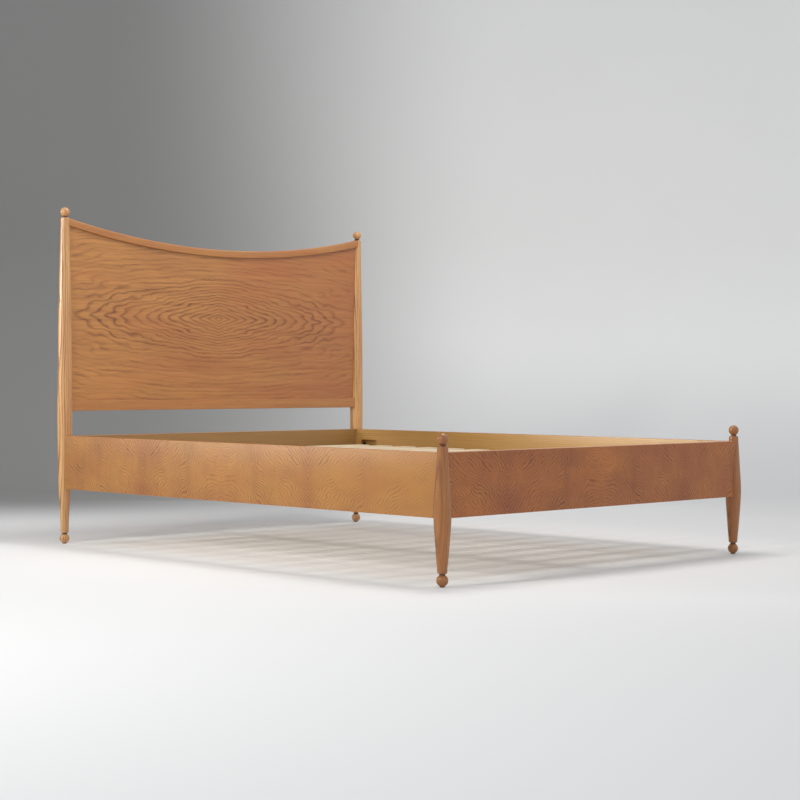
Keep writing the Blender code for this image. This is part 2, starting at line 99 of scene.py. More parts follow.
# ---- Node and colour helpers --------------------------------------------------------------------
def linear(hex_colour: str) -> tuple[float, float, float, float]:
    """Turn an sRGB hex colour into linear light.

    Args:
        hex_colour: six hex digits after a hash sign.

    Returns:
        Red, green, blue and a full alpha.
    """
    channels = [int(hex_colour[i:i + 2], 16) / 255 for i in (1, 3, 5)]
    red, green, blue = (c / 12.92 if c <= 0.04045 else ((c + 0.055) / 1.055) ** 2.4 for c in channels)
    return red, green, blue, 1.0


def add_node(tree: Tree, kind: str, inputs: dict[int | str, Setting] | None = None,
             stops: Sequence[tuple[float, float]] = (), **settings: object) -> bpy.types.NodeOutputs:
    """Add one shader node.

    Args:
        tree: the material's node tree.
        kind: the node's type, without its ShaderNode prefix.
        inputs: what each input takes, a socket to link or a value.
        stops: for a ramp, each stop's place and grey level.
        **settings: properties of the node itself.

    Returns:
        The node's outputs.
    """
    node = tree.nodes.new("ShaderNode" + kind)
    for name, value in settings.items():
        setattr(node, name, value)
    for key, value in (inputs or {}).items():
        if isinstance(value, Socket):
            tree.links.new(value, node.inputs[key])
        else:
            node.inputs[key].default_value = value
    for number, (place, level) in enumerate(stops):
        stop = node.color_ramp.elements[number] if number < 2 else node.color_ramp.elements.new(place)
        stop.position = place
        stop.color = (level, level, level, 1.0)
    return node.outputs


def mottle(tree: Tree, place: Socket, size_mm: Sequence[float],
           detail: float = 2.0, shift: float = 0.0) -> Socket:
    """Smooth irregular variation about zero, stretched to a typical size along each axis.

    Args:
        tree: the material's node tree.
        place: where on the piece.
        size_mm: how long one swell of it is along X, Y and Z.
        detail: how many finer layers it carries.
        shift: moves it along, so that two of one size differ.

    Returns:
        A value from about -0.5 to 0.5.
    """
    scale = tuple(1000.0 / size for size in size_mm)
    moved = add_node(tree, "Mapping", {"Vector": place, "Location": (shift, shift, shift), "Scale": scale})
    noise = add_node(tree, "TexNoise", {"Vector": moved[0], "Scale": 1.0, "Detail": detail})
    return add_node(tree, "Math", {0: noise[0], 1: 0.5}, operation="SUBTRACT")[0]


def mirrored(tree: Tree, run: Socket, seam: float) -> Socket:
    """Distance from a seam, the same on either side of it, as two leaves opened like a book have."""
    offset = add_node(tree, "Math", {0: run, 1: seam}, operation="SUBTRACT")
    return add_node(tree, "Math", {0: offset[0]}, operation="ABSOLUTE")[0]


def grained(along: int, length: float, width: float) -> tuple[float, ...]:
    """Sizes for a mottle that is drawn out along one axis."""
    return tuple(length if axis == along else width for axis in range(3))


def weighted(tree: Tree, start: Setting,
             *terms: tuple[Socket, float]) -> Socket:
    """Add up several patterns, each by its own weight.

    Args:
        tree: the material's node tree.
        start: the value or pattern to start from.
        *terms: each pattern with its weight.

    Returns:
        The sum.
    """
    total = start
    for pattern, weight in terms:
        total = add_node(tree, "Math", {0: pattern, 1: weight, 2: total}, operation="MULTIPLY_ADD")[0]
    return total


# ---- Finishes -----------------------------------------------------------------------------------
@dataclass(frozen=True)
class Surface:
    """What a finish's pattern gives its shader."""

    colour: Socket
    roughness: Socket
    height: Socket


@dataclass(frozen=True)
class Finish:
    """Any material, dressed as one Principled shader."""

    name: str
    light: str = "#FFFFFF"  # the two tones that the pattern shades between
    dark: str = "#000000"
    metallic: float = 0.0
    ior: float = 1.5
    coat: float = 0.0
    coat_roughness: float = 0.3
    relief_mm: float = 0.1  # how deep the pattern's height goes

    def pattern(self, tree: Tree, place: Socket) -> Surface:
        """Draw the finish's own pattern.

        Args:
            tree: the material's node tree.
            place: where on the piece, in metres.

        Returns:
            The colour, roughness and height.
        """
        raise NotImplementedError

    def tone(self, tree: Tree, share: Socket) -> Socket:
        """The colour between the light and the dark tone, at a share of the way."""
        return add_node(tree, "Mix", {0: share, 6: linear(self.light), 7: linear(self.dark)},
                        data_type="RGBA")[2]

    def build(self) -> Material:
        """Make the material.

        Returns:
            The finished material.
        """
        material = bpy.data.materials.new(self.name)
        material.use_nodes = True
        tree = material.node_tree
        tree.nodes.clear()
        place = add_node(tree, "TexCoord")["Object"]
        drawn = self.pattern(tree, place)
        bump = add_node(tree, "Bump", {"Height": drawn.height, "Strength": 1.0,
                                       "Distance": self.relief_mm * MM})
        shader = add_node(tree, "BsdfPrincipled", {
            "Base Color": drawn.colour, "Roughness": drawn.roughness, "Normal": bump[0],
            "Metallic": self.metallic, "IOR": self.ior, "Coat Weight": self.coat,
            "Coat Roughness": self.coat_roughness})
        add_node(tree, "OutputMaterial", {"Surface": shader[0]})
        return material


@dataclass(frozen=True)
class Ash(Finish):
    """Ash, stained warm brown and sprayed with a satin lacquer.

    It is ring-porous: each year's early wood is a band of open pores that takes up more stain, so the
    growth lines read darker than the smooth late wood between them.
    """

    light: str = "#C08444"
    dark: str = "#582A10"
    red: str = "#A0562B"
    satin: float = 0.42
    coat: float = 0.25
    line_weight: float = 0.62
    stain: float = 0.18  # how dark the late wood is, from light to dark

    def growth_lines(self, tree: Tree, years: Socket, strength: Socket) -> Socket:
        """Darkness of the growth lines: sharp where the early wood starts, fading into late wood.

        Args:
            tree: the material's node tree.
            years: a field that rises by one from each growth ring to the next.
            strength: how boldly the lines show from place to place.

        Returns:
            0 in late wood, and up to 1 in early wood.
        """
        part = add_node(tree, "Math", {0: years}, operation="FRACT")
        ring = add_node(tree, "ValToRGB", {0: part[0]},
                        stops=((0.0, 0.10), (0.15, 0.0), (0.55, 0.14), (0.74, 0.80), (0.83, 1.0),
                               (1.0, 0.10)))
        return add_node(tree, "Math", {0: ring[0], 1: strength}, operation="MULTIPLY", use_clamp=True)[0]

    def lacquered(self, tree: Tree, lines: Socket,
                  fibre: Socket, warmth: Socket) -> Surface:
        """Stain and lacquer a figure.

        Args:
            tree: the material's node tree.
            lines: growth-line darkness, 0 to 1.
            fibre: fine fibre and pores, about zero.
            warmth: slow drift of tone, about zero; more is redder.

        Returns:
            The surface.
        """
        depth = weighted(tree, self.stain, (lines, self.line_weight), (fibre, 0.5))
        depth = add_node(tree, "Math", {0: depth, 1: 0.0}, operation="ADD", use_clamp=True)[0]
        blush = add_node(tree, "MapRange", {0: warmth, 1: -0.20, 2: 0.30, 3: 0.0, 4: 0.50})[0]
        colour = add_node(tree, "Mix", {0: blush, 6: self.tone(tree, depth), 7: linear(self.red)},
                          data_type="RGBA")[2]
        gloss = weighted(tree, self.satin, (lines, 0.08), (fibre, 0.10))
        proud = weighted(tree, 0.5, (lines, -0.35), (fibre, -0.6))
        return Surface(colour, gloss, proud)


@dataclass(frozen=True)
class BookMatchedAsh(Ash):
    """Crown-cut ash veneer, four leaves opened like a book about two seams.

    Each leaf was sliced flat across the log, so its growth rings show as nested pointed ovals, with
    flatter arches above and below. The mirrored leaves meet in diamonds.
    """

    light: str = "#B97E3F"
    dark: str = "#5C290D"
    seam_x: float = -0.02
    seam_z: float = 0.92
    oval_half_height: float = 0.155
    oval_half_length: float = 0.74
    ring_mm: float = 12.0  # growth rings near the seam; the slicing spreads them out sideways
    outer_ring_mm: float = 18.0
    tightening: float = 0.78  # below 1, noses crowd together towards the upright seam
    diamond: float = 1.25  # how the innermost rings bend, 1 for straight-sided and 2 for round
    lens: float = 1.90  # and the outermost
    outer_limit: float = 0.60  # past the farthest corner of the panel

    def nested(self, tree: Tree, run: Socket, rise: Socket,
               bend: float) -> Socket:
        """Distance out from the middle through nested rings.

        Args:
            tree: the material's node tree.
            run: distance along the leaf, shortened to the rings' shape.
            rise: distance up the leaf.
            bend: the rings' shape, 1 for a diamond and 2 for an ellipse.

        Returns:
            The distance, measured where a ring crosses the upright seam.
        """
        parts = [add_node(tree, "Math", {0: part, 1: bend}, operation="POWER")[0] for part in (run, rise)]
        both = add_node(tree, "Math", {0: parts[0], 1: parts[1]}, operation="ADD")[0]
        return add_node(tree, "Math", {0: both, 1: 1.0 / bend}, operation="POWER")[0]

    def pattern(self, tree: Tree, place: Socket) -> Surface:
        """Draw the four-leaf match."""
        axes = add_node(tree, "SeparateXYZ", {0: place})
        shade_to_right = add_node(tree, "Math", {0: axes["X"], 1: self.seam_x}, operation="SUBTRACT")[0]
        out, up = mirrored(tree, axes["X"], self.seam_x), mirrored(tree, axes["Z"], self.seam_z)
        leaf = add_node(tree, "CombineXYZ", {"X": out, "Z": up})[0]

        # The log was not straight: slow bends first, then the wavy grain, then the fibres' own wander.
        reach = add_node(tree, "MapRange", {0: out, 1: 0.05, 2: 0.70, 3: 0.010, 4: 0.085})[0]
        bend = add_node(tree, "Math", {0: mottle(tree, leaf, (250, 200, 90), 1.0, 3.1), 1: reach},
                        operation="MULTIPLY")[0]
        lively = add_node(tree, "MapRange", {0: out, 1: 0.0, 2: 0.60, 3: 0.010, 4: 0.042})[0]
        calmer = add_node(tree, "MapRange", {0: up, 1: 0.10, 2: 0.22, 3: 1.0, 4: 0.30})[0]
        lively = add_node(tree, "Math", {0: lively, 1: calmer}, operation="MULTIPLY")[0]
        wave = add_node(tree, "Math", {0: mottle(tree, leaf, (72, 40, 34), 1.0, 7.7), 1: lively},
                        operation="MULTIPLY")[0]
        wander = mottle(tree, leaf, (24, 20, 14), 2.0)
        unlike = mottle(tree, place, (420, 300, 160), 1.0, 5.3)
        rise = weighted(tree, up, (bend, 1.0), (wave, 1.0), (wander, 0.008), (unlike, 0.010))
        rise = add_node(tree, "Math", {0: rise, 1: 0.0}, operation="MAXIMUM")[0]

        part = add_node(tree, "Math", {0: out, 1: 1.0 / self.oval_half_length}, operation="MULTIPLY")[0]
        part = add_node(tree, "Math", {0: part, 1: self.tightening}, operation="POWER")[0]
        run = add_node(tree, "Math", {0: part, 1: self.oval_half_height}, operation="MULTIPLY")[0]
        inner = self.nested(tree, run, rise, self.diamond)
        outer = self.nested(tree, run, rise, self.lens)
        share = add_node(tree, "MapRange", {0: outer, 1: 0.0, 2: self.oval_half_height * 1.2, 3: 0.0, 4: 1.0})
        growth = add_node(tree, "Mix", {0: share[0], 2: inner, 3: outer}, data_type="FLOAT")[0]

        rings = self.oval_half_height * 1000 / self.ring_mm
        near = add_node(tree, "MapRange", {0: growth, 1: 0.0, 2: self.oval_half_height, 3: 0.0, 4: rings})[0]
        rings = (self.outer_limit - self.oval_half_height) * 1000 / self.outer_ring_mm
        far = add_node(tree, "MapRange", {0: growth, 1: self.oval_half_height, 2: self.outer_limit,
                                          3: 0.0, 4: rings})[0]
        uneven = mottle(tree, leaf, (500, 300, 40), 1.5, 11.0)
        years = weighted(tree, near, (far, 1.0), (uneven, 1.6))

        calm = add_node(tree, "MapRange", {0: growth, 1: self.oval_half_height * 0.9,
                                           2: self.oval_half_height * 1.4, 3: 0.86, 4: 0.36},
                        interpolation_type="SMOOTHSTEP")[0]
        patchy = weighted(tree, calm, (mottle(tree, leaf, (170, 200, 40), 2.0, 2.2), 1.5))
        lines = self.growth_lines(tree, years, patchy)
        pores = mottle(tree, place, (70, 10, 3.0), 2.0, 1.0)
        grain = mottle(tree, place, (300, 60, 12), 4.0, 9.0)
        # Painted shade: the panel grows darker and redder towards the right, away from the key lamp.
        fibre = weighted(tree, pores, (grain, 1.7), (shade_to_right, 0.14))
        warmth = weighted(tree, mottle(tree, place, (330, 200, 90), 3.0, 4.4), (shade_to_right, 0.30))
        return self.lacquered(tree, lines, fibre, warmth)


@dataclass(frozen=True)
class SwirledAsh(Ash):
    """Figured ash veneer laid on the rails' outer faces, each leaf the mirror of the one beside it.

    The log grew with wavy, interlocked fibres, so the lines wriggle, and the fibres that dive in and
    out of the face throw back light in soft cross bands. The eye sees a crown at the middle seam, and
    darker, redder wood where the outer leaves meet.
    """

    along_x: bool = False  # which way the rail runs
    seam: float = 0.045
    leaf_length: float = 0.467
    middle_z: float = 0.345
    steepness: float = 0.80
    ring_mm: float = 13.0
    line_weight: float = 0.84
    fading: float = 0.0  # how much paler it is drawn towards the foot end
    crown_round: float = 0.08  # how wide the crown is blunted at the seam

    def pattern(self, tree: Tree, place: Socket) -> Surface:
        """Draw the leaves, matched edge to edge."""
        axes = add_node(tree, "SeparateXYZ", {0: place})
        run = axes["X"] if self.along_x else axes["Y"]
        out = mirrored(tree, run, self.seam)
        beyond = mirrored(tree, out, self.leaf_length)
        folded = add_node(tree, "Math", {0: self.leaf_length, 1: beyond}, operation="SUBTRACT")[0]
        up = add_node(tree, "Math", {0: axes["Z"], 1: self.middle_z}, operation="SUBTRACT")[0]
        leaf = add_node(tree, "CombineXYZ", {"X": folded, "Z": up})[0]

        swirl = mottle(tree, leaf, (190, 100, 130), 1.0, 2.3)
        eddy = mottle(tree, leaf, (75, 50, 62), 1.0, 6.1)
        curl = mottle(tree, leaf, (34, 20, 28), 1.5, 8.4)
        unlike = mottle(tree, place, (300, 300, 120), 1.0, 5.3)
        square = add_node(tree, "Math", {0: out, 1: out, 2: self.crown_round ** 2},
                          operation="MULTIPLY_ADD")[0]
        rounded = add_node(tree, "Math", {0: square, 1: 0.5}, operation="POWER")[0]
        crown = weighted(tree, folded, (rounded, 1.0), (out, -1.0))
        # By the seam the lines arch over below the middle and hang like a swag above it.
        over = add_node(tree, "Math", {0: up, 1: 0.0}, operation="MAXIMUM")[0]
        beside = add_node(tree, "MapRange", {0: out, 1: 0.08, 2: 0.26, 3: -2.0, 4: 0.0},
                          interpolation_type="SMOOTHSTEP")[0]
        swag = add_node(tree, "Math", {0: over, 1: beside}, operation="MULTIPLY")[0]
        growth = weighted(tree, up, (crown, self.steepness), (swag, 1.0), (swirl, 0.11), (eddy, 0.040),
                          (curl, 0.024), (unlike, 0.03))
        years = add_node(tree, "Math", {0: growth, 1: 1000 / self.ring_mm}, operation="MULTIPLY")[0]
        patchy = weighted(tree, 0.75, (mottle(tree, leaf, (110, 100, 80), 2.0, 1.7), 1.5))
        # The crown by the seam is cut flattest, so its lines are the palest.
        flat = add_node(tree, "MapRange", {0: out, 1: 0.0, 2: 0.16, 3: 0.50, 4: 1.0})[0]
        patchy = add_node(tree, "Math", {0: patchy, 1: flat}, operation="MULTIPLY")[0]
        lines = self.growth_lines(tree, years, patchy)

        ripple = mottle(tree, leaf, (34, 20, 80), 2.0, 3.9)
        cloud = mottle(tree, place, (210, 210, 90), 2.0, 9.5)
        edge = add_node(tree, "MapRange", {0: beyond, 1: 0.0, 2: 0.075, 3: 1.0, 4: 0.0},
                        interpolation_type="SMOOTHSTEP")[0]
        torn = weighted(tree, edge, (mottle(tree, place, (60, 60, 20), 2.0, 2.7), 1.2))
        edge = add_node(tree, "Math", {0: edge, 1: torn}, operation="MULTIPLY", use_clamp=True)[0]
        pores = mottle(tree, place, (9, 9, 4), 2.0, 1.0)
        paler = add_node(tree, "MapRange", {0: run, 1: -1.0, 2: 0.2, 3: 1.0, 4: 0.0})[0]
        fibre = weighted(tree, pores, (ripple, 0.7), (cloud, -1.0), (edge, 0.20), (paler, -self.fading))
        warmth = weighted(tree, mottle(tree, place, (240, 240, 100), 3.0, 4.4), (edge, 0.20))
        return self.lacquered(tree, lines, fibre, warmth)


@dataclass(frozen=True)
class StraightAsh(Ash):
    """Straight-grained ash, sawn on the quarter for rails and lippings; lines run along the piece."""

    along: int = 0  # axis that the grain follows
    ring_mm: float = 3.6

    def pattern(self, tree: Tree, place: Socket) -> Surface:
        """Draw long even lines along one axis."""
        bend = mottle(tree, place, grained(self.along, 700, 120), 2.0, 2.0)
        axes = add_node(tree, "SeparateXYZ", {0: place})
        across = axes["X"] if self.along == 2 else axes["Z"]
        deep = axes["Y"] if self.along != 1 else axes["X"]
        growth = weighted(tree, across, (deep, 0.45), (bend, 0.03))
        years = add_node(tree, "Math", {0: growth, 1: 1000 / self.ring_mm}, operation="MULTIPLY")[0]
        patchy = weighted(tree, 0.55, (mottle(tree, place, grained(self.along, 420, 14), 2.0, 6.0), 1.6))
        lines = self.growth_lines(tree, years, patchy)
        fibre = weighted(tree, mottle(tree, place, grained(self.along, 45, 1.3), 2.0, 1.0),
                         (mottle(tree, place, grained(self.along, 260, 7), 2.0, 3.0), 0.9))
        warmth = mottle(tree, place, grained(self.along, 500, 40), 2.0, 4.4)
        return self.lacquered(tree, lines, fibre, warmth)


@dataclass(frozen=True)
class TurnedAsh(Ash):
    """Solid ash turned between centres, sanded and lacquered.

    The billet's pith lies outside the post, so its rings cut the turned face as long upright lines
    that open into tongues where the post swells.
    """

    post_x: float = 0.81
    post_y: float = 1.044
    pith_mm: tuple[float, float] = (78.0, 12.0)
    ring_mm: float = 6.5
    line_weight: float = 0.70
    light: str = "#CC9456"
    coat: float = 0.5
    coat_roughness: float = 0.24

    def pattern(self, tree: Tree, place: Socket) -> Surface:
        """Draw growth rings about the pith of each post's billet."""
        axes = add_node(tree, "SeparateXYZ", {0: place})
        lean = mottle(tree, place, (160, 160, 520), 1.0, 2.0)
        parts = []
        for axis, middle, pith in (("X", self.post_x, self.pith_mm[0]), ("Y", self.post_y, self.pith_mm[1])):
            sign = add_node(tree, "Math", {0: axes[axis]}, operation="SIGN")[0]
            local = weighted(tree, axes[axis], (sign, -middle), (sign, pith * MM), (lean, 0.030))
            parts.append(add_node(tree, "Math", {0: local, 1: 2.0}, operation="POWER")[0])
        both = add_node(tree, "Math", {0: parts[0], 1: parts[1]}, operation="ADD")
        radius = add_node(tree, "Math", {0: both[0], 1: 0.5}, operation="POWER")[0]
        uneven = mottle(tree, place, (24, 24, 300), 2.0, 5.0)
        years = weighted(tree, uneven, (radius, 1000 / self.ring_mm))
        patchy = weighted(tree, 0.75, (mottle(tree, place, (22, 22, 300), 2.0, 6.0), 2.2))
        lines = self.growth_lines(tree, years, patchy)
        fibre = weighted(tree, mottle(tree, place, (1.3, 1.3, 30), 2.0, 1.0),
                         (mottle(tree, place, (7, 7, 260), 2.0, 3.0), 1.1))
        warmth = mottle(tree, place, (28, 28, 420), 2.0, 4.4)
        return self.lacquered(tree, lines, fibre, warmth)


@dataclass(frozen=True)
class SawnTimber(Finish):
    """Plain planed softwood with no lacquer: pale, dry and dull, with soft lines along its length."""

    light: str = "#E2D3B7"
    dark: str = "#C3A882"
    along: int = 0
    ring_mm: float = 5.5
    dryness: float = 0.62

    def pattern(self, tree: Tree, place: Socket) -> Surface:
        """Draw planed boards."""
        axes = add_node(tree, "SeparateXYZ", {0: place})
        across = axes["Y"] if self.along == 0 else axes["X"]
        bend = mottle(tree, place, grained(self.along, 380, 60), 1.5, 2.0)
        growth = weighted(tree, across, (axes["Z"], 0.9), (bend, 0.055))
        years = add_node(tree, "Math", {0: growth, 1: 1000 / self.ring_mm}, operation="MULTIPLY")
        part = add_node(tree, "Math", {0: years[0]}, operation="FRACT")
        lines = add_node(tree, "ValToRGB", {0: part[0]}, stops=((0.0, 0.1), (0.86, 0.8), (0.95, 0.1)))[0]
        fibre = mottle(tree, place, grained(self.along, 60, 1.4), 3.0, 1.0)
        cloud = mottle(tree, place, grained(self.along, 300, 45), 2.0, 7.0)
        depth = weighted(tree, 0.18, (lines, 0.42), (fibre, 0.7), (cloud, 0.8))
        depth = add_node(tree, "Math", {0: depth, 1: 0.0}, operation="ADD", use_clamp=True)[0]
        rough = weighted(tree, self.dryness, (fibre, 0.15))
        proud = weighted(tree, 0.5, (lines, 0.2), (fibre, -0.8))
        return Surface(self.tone(tree, depth), rough, proud)


@dataclass(frozen=True)
class CoatedSteel(Finish):
    """Mild steel with a thin coat, either bright zinc plate or black oxide.

    Zinc keeps faint crystals and handling marks; oxide is nearly black and slightly oily.
    """

    light: str = "#BFC2C4"
    dark: str = "#8E9296"
    polish: float = 0.36

    def pattern(self, tree: Tree, place: Socket) -> Surface:
        """Draw a faintly clouded plated surface."""
        cloud = mottle(tree, place, (9, 9, 9), 3.0, 1.0)
        speck = mottle(tree, place, (0.9, 0.9, 0.9), 2.0, 2.0)
        share = weighted(tree, 0.45, (cloud, 1.2), (speck, 0.5))
        rough = weighted(tree, self.polish, (cloud, 0.25), (speck, 0.10))
        return Surface(self.tone(tree, share), rough, weighted(tree, 0.5, (speck, 0.6)))


@dataclass(frozen=True)
class MouldedNylon(Finish):
    """Injection-moulded nylon with the fine matt texture of its mould."""

    light: str = "#8A6A4C"
    dark: str = "#6E523A"

    def pattern(self, tree: Tree, place: Socket) -> Surface:
        """Draw mould texture."""
        spark = mottle(tree, place, (0.8, 0.8, 0.8), 2.0, 1.0)
        scuff = mottle(tree, place, (6, 6, 6), 3.0, 2.0)
        share = weighted(tree, 0.5, (spark, 0.6), (scuff, 0.9))
        return Surface(self.tone(tree, share), weighted(tree, 0.55, (scuff, 0.3)),
                       weighted(tree, 0.5, (spark, 1.0)))


@dataclass(frozen=True)
class WovenWebbing(Finish):
    """Flat polypropylene webbing: warp ribs along it, crossed by a finer weft."""

    light: str = "#E6E1D6"
    dark: str = "#B4AC9C"
    rib_mm: float = 1.6  # real ribs are 0.8 mm; drawn twice as coarse so that they show

    def pattern(self, tree: Tree, place: Socket) -> Surface:
        """Draw the weave."""
        threads = []
        for direction, pitch in (("X", self.rib_mm), ("Y", self.rib_mm * 0.8)):
            threads.append(add_node(tree, "TexWave", {
                "Vector": place, "Scale": 1000 / pitch / math.tau, "Distortion": 0.0},
                wave_type="BANDS", bands_direction=direction, wave_profile="SIN")[1])
        weave = add_node(tree, "Math", {0: threads[0], 1: threads[1]}, operation="MULTIPLY")[0]
        dirt = mottle(tree, place, (30, 60, 30), 2.0, 1.0)
        share = weighted(tree, 0.62, (weave, -0.5), (dirt, 0.5))
        return Surface(self.tone(tree, share), weighted(tree, 0.8, (weave, -0.1)), weave)


# ---- Mesh helpers -------------------------------------------------------------------------------
def finished_mesh(bm: bmesh.types.BMesh, name: str, soft: bool = True) -> Mesh:
    """Close a bmesh and shade it.

    Args:
        bm: the shape, freed here.
        name: name for the mesh.
        soft: shade curved faces smooth.

    Returns:
        The mesh, with outward faces.
    """
    bmesh.ops.recalc_face_normals(bm, faces=bm.faces)
    mesh = bpy.data.meshes.new(name)
    bm.to_mesh(mesh)
    bm.free()
    if soft:
        mesh.shade_smooth()
        mesh.set_sharp_from_angle(angle=math.radians(32))
    return mesh


def turn(name: str, outline: Outline, centre: Sequence[float], sides: int = 64,
         ring: bool = False, axis_to: Sequence[float] = (0, 0, 1)) -> Mesh:
    """Turn an outline of (radius, height) points on a lathe.

    Args:
        name: name for the mesh.
        outline: the half section, along its length.
        centre: where its zero height stands.
        sides: how many steps go round.
        ring: the outline closes on itself, as a washer's does.
        axis_to: which way its height points.

    Returns:
        The turned mesh.
    """
    bm = bmesh.new()
    rim = [bm.verts.new((radius, 0.0, height)) for radius, height in outline]
    following = rim[1:] + (rim[:1] if ring else [])
    edges = [bm.edges.new(pair) for pair in zip(rim, following)]
    bmesh.ops.spin(bm, geom=rim + edges, cent=(0, 0, 0), axis=(0, 0, 1), angle=math.tau, steps=sides,
                   use_merge=True)
    bmesh.ops.remove_doubles(bm, verts=bm.verts, dist=1e-6)
    aim = Vector(axis_to).to_track_quat("Z", "Y").to_matrix().to_4x4()
    bmesh.ops.transform(bm, matrix=Matrix.Translation(Vector(centre)) @ aim, verts=bm.verts)
    return finished_mesh(bm, name)


def skin(name: str, loops: Sequence[Sequence[Sequence[float]]]) -> Mesh:
    """Skin a row of equal closed loops and cap both ends.

    Args:
        name: name for the mesh.
        loops: each loop's points, in the same order.

    Returns:
        The closed mesh.
    """
    bm = bmesh.new()
    rows = [[bm.verts.new(point) for point in loop] for loop in loops]
    count = len(rows[0])
    for row, following in zip(rows, rows[1:]):
        for i in range(count):
            j = (i + 1) % count
            bm.faces.new((row[i], row[j], following[j], following[i]))
    bm.faces.new(rows[0])
    bm.faces.new(rows[-1])
    return finished_mesh(bm, name)


def eased_board(name: str, low: Sequence[float], high: Sequence[float], radius: float,
                segments: int = 4, only: int | None = None) -> Mesh:
    """A planed board with its arrises rounded over.

    Args:
        name: name for the mesh.
        low: lowest corner.
        high: highest corner.
        radius: radius of the arrises.
        segments: facets across each arris.
        only: round only the arrises along this axis.

    Returns:
        The board.
    """
    low, high = Vector(low), Vector(high)
    bm = bmesh.new()
    bmesh.ops.create_cube(bm, size=1.0)
    bmesh.ops.scale(bm, vec=high - low, verts=bm.verts)
    bmesh.ops.translate(bm, vec=(low + high) / 2, verts=bm.verts)
    chosen = [edge for edge in bm.edges
              if only is None or abs((edge.verts[1].co - edge.verts[0].co).normalized()[only]) > 0.99]
    bmesh.ops.bevel(bm, geom=chosen, offset=radius, segments=segments, profile=0.5, affect="EDGES",
                    clamp_overlap=True)
    mesh = finished_mesh(bm, name)
    flatten_planes(mesh)
    return mesh


def flatten_planes(mesh: Mesh) -> None:
    """Shade faces that lie square to an axis flat, and leave the roundings between them smooth."""
    for face in mesh.polygons:
        face.use_smooth = max(abs(part) for part in face.normal) < 0.9999


def worked(mesh: Mesh, cutters: Iterable[Mesh]) -> Mesh:
    """Cut shapes out of a mesh.

    Args:
        mesh: what is cut.
        cutters: closed shapes to take away.

    Returns:
        The mesh that is left.
    """
    blank = bpy.data.objects.new(mesh.name + "_blank", mesh)
    bpy.context.scene.collection.objects.link(blank)
    tools = []
    for shape in cutters:
        tool = bpy.data.objects.new(shape.name, shape)
        bpy.context.scene.collection.objects.link(tool)
        modifier = blank.modifiers.new(shape.name, "BOOLEAN")
        modifier.operation = "DIFFERENCE"
        modifier.solver = "EXACT"
        modifier.object = tool
        tools.append(tool)
    bpy.context.view_layer.update()
    left = bpy.data.meshes.new_from_object(blank.evaluated_get(bpy.context.evaluated_depsgraph_get()))
    for spent in [blank, *tools]:
        bpy.data.objects.remove(spent, do_unlink=True)
    left.materials.clear()
    left.set_sharp_from_angle(angle=math.radians(32))
    return left


def block(name: str, xs: Sequence[float], ys: Sequence[float], zs: Sequence[float]) -> Mesh:
    """A square cutter between three pairs of coordinates, given in any order."""
    pairs = [sorted(pair) for pair in (xs, ys, zs)]
    return eased_board(name, [pair[0] for pair in pairs], [pair[1] for pair in pairs], 1e-5, 1)


def fillet(centre: tuple[float, float], radius: float, start: float, stop: float,
           steps: int) -> list[tuple[float, float]]:
    """Points along an arc in an outline.

    Args:
        centre: the arc's centre.
        radius: its radius.
        start: angle at its start, in degrees from the first axis.
        stop: angle at its end.
        steps: how many pieces the arc has.

    Returns:
        The arc's points.
    """
    angles = [math.radians(start + (stop - start) * i / steps) for i in range(steps + 1)]
    return [(centre[0] + radius * math.cos(angle), centre[1] + radius * math.sin(angle)) for angle in angles]


@dataclass(frozen=True)
class Corner:
    """One post's position, with distances measured from its axis towards the bed's middle."""

    name: str
    side: Side
    end: End
    x: float
    y: float

    def inward_x(self, *distances: float) -> list[float]:
        """X coordinates of distances measured inwards across the bed."""
        return [self.x - self.side.value * distance for distance in distances]

    def inward_y(self, *distances: float) -> list[float]:
        """Y coordinates of distances measured inwards along the bed."""
        return [self.y - self.end.value * distance for distance in distances]


def find_corners() -> list[Corner]:
    """Read the four posts' axes off the glides that stand under them.

    Returns:
        The corners, foot end first.
    """
    found = []
    for end in End:
        for side in Side:
            name = f"{end.name.lower()}_{side.name.lower()}"
            low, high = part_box(f"glide_{name}")
            middle = (low + high) / 2
            found.append(Corner(name, side, end, middle.x, middle.y))
    return found


@dataclass
class Assembly:
    """A group of pieces that ride on one body."""

    corners: list[Corner]
    body: Body = Body.BED_FRAME

    def fit(self, name: str, mesh: Mesh, slot: Slot, finishes: Sequence[Material],
            stands_for: str | None = None) -> bpy.types.Object:
        """Put a finished mesh in place of a frame node.

        Args:
            name: the piece's name.
            mesh: its shape, already in place.
            slot: the record's slot for its finish; not used.
            finishes: its materials, in order.
            stands_for: the frame node it replaces, if any.

        Returns:
            The piece.
        """
        piece = bpy.data.objects.new(name, mesh)
        bpy.context.scene.collection.objects.link(piece)
        for finish in finishes:
            mesh.materials.append(finish)
        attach(piece, self.body.value)
        if stands_for is not None:
            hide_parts(stands_for)
        LOG.info("%s: %d faces on %s", name, len(mesh.polygons), self.body.value)
        return piece

    def keep(self, node: str, slot: Slot, finish: Material) -> bpy.types.Object:
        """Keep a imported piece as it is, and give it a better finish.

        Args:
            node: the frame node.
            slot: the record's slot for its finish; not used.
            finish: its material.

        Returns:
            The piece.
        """
        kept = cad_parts[node]
        kept.data.materials.clear()
        kept.data.materials.append(finish)
        LOG.info("%s: kept", node)
        return kept


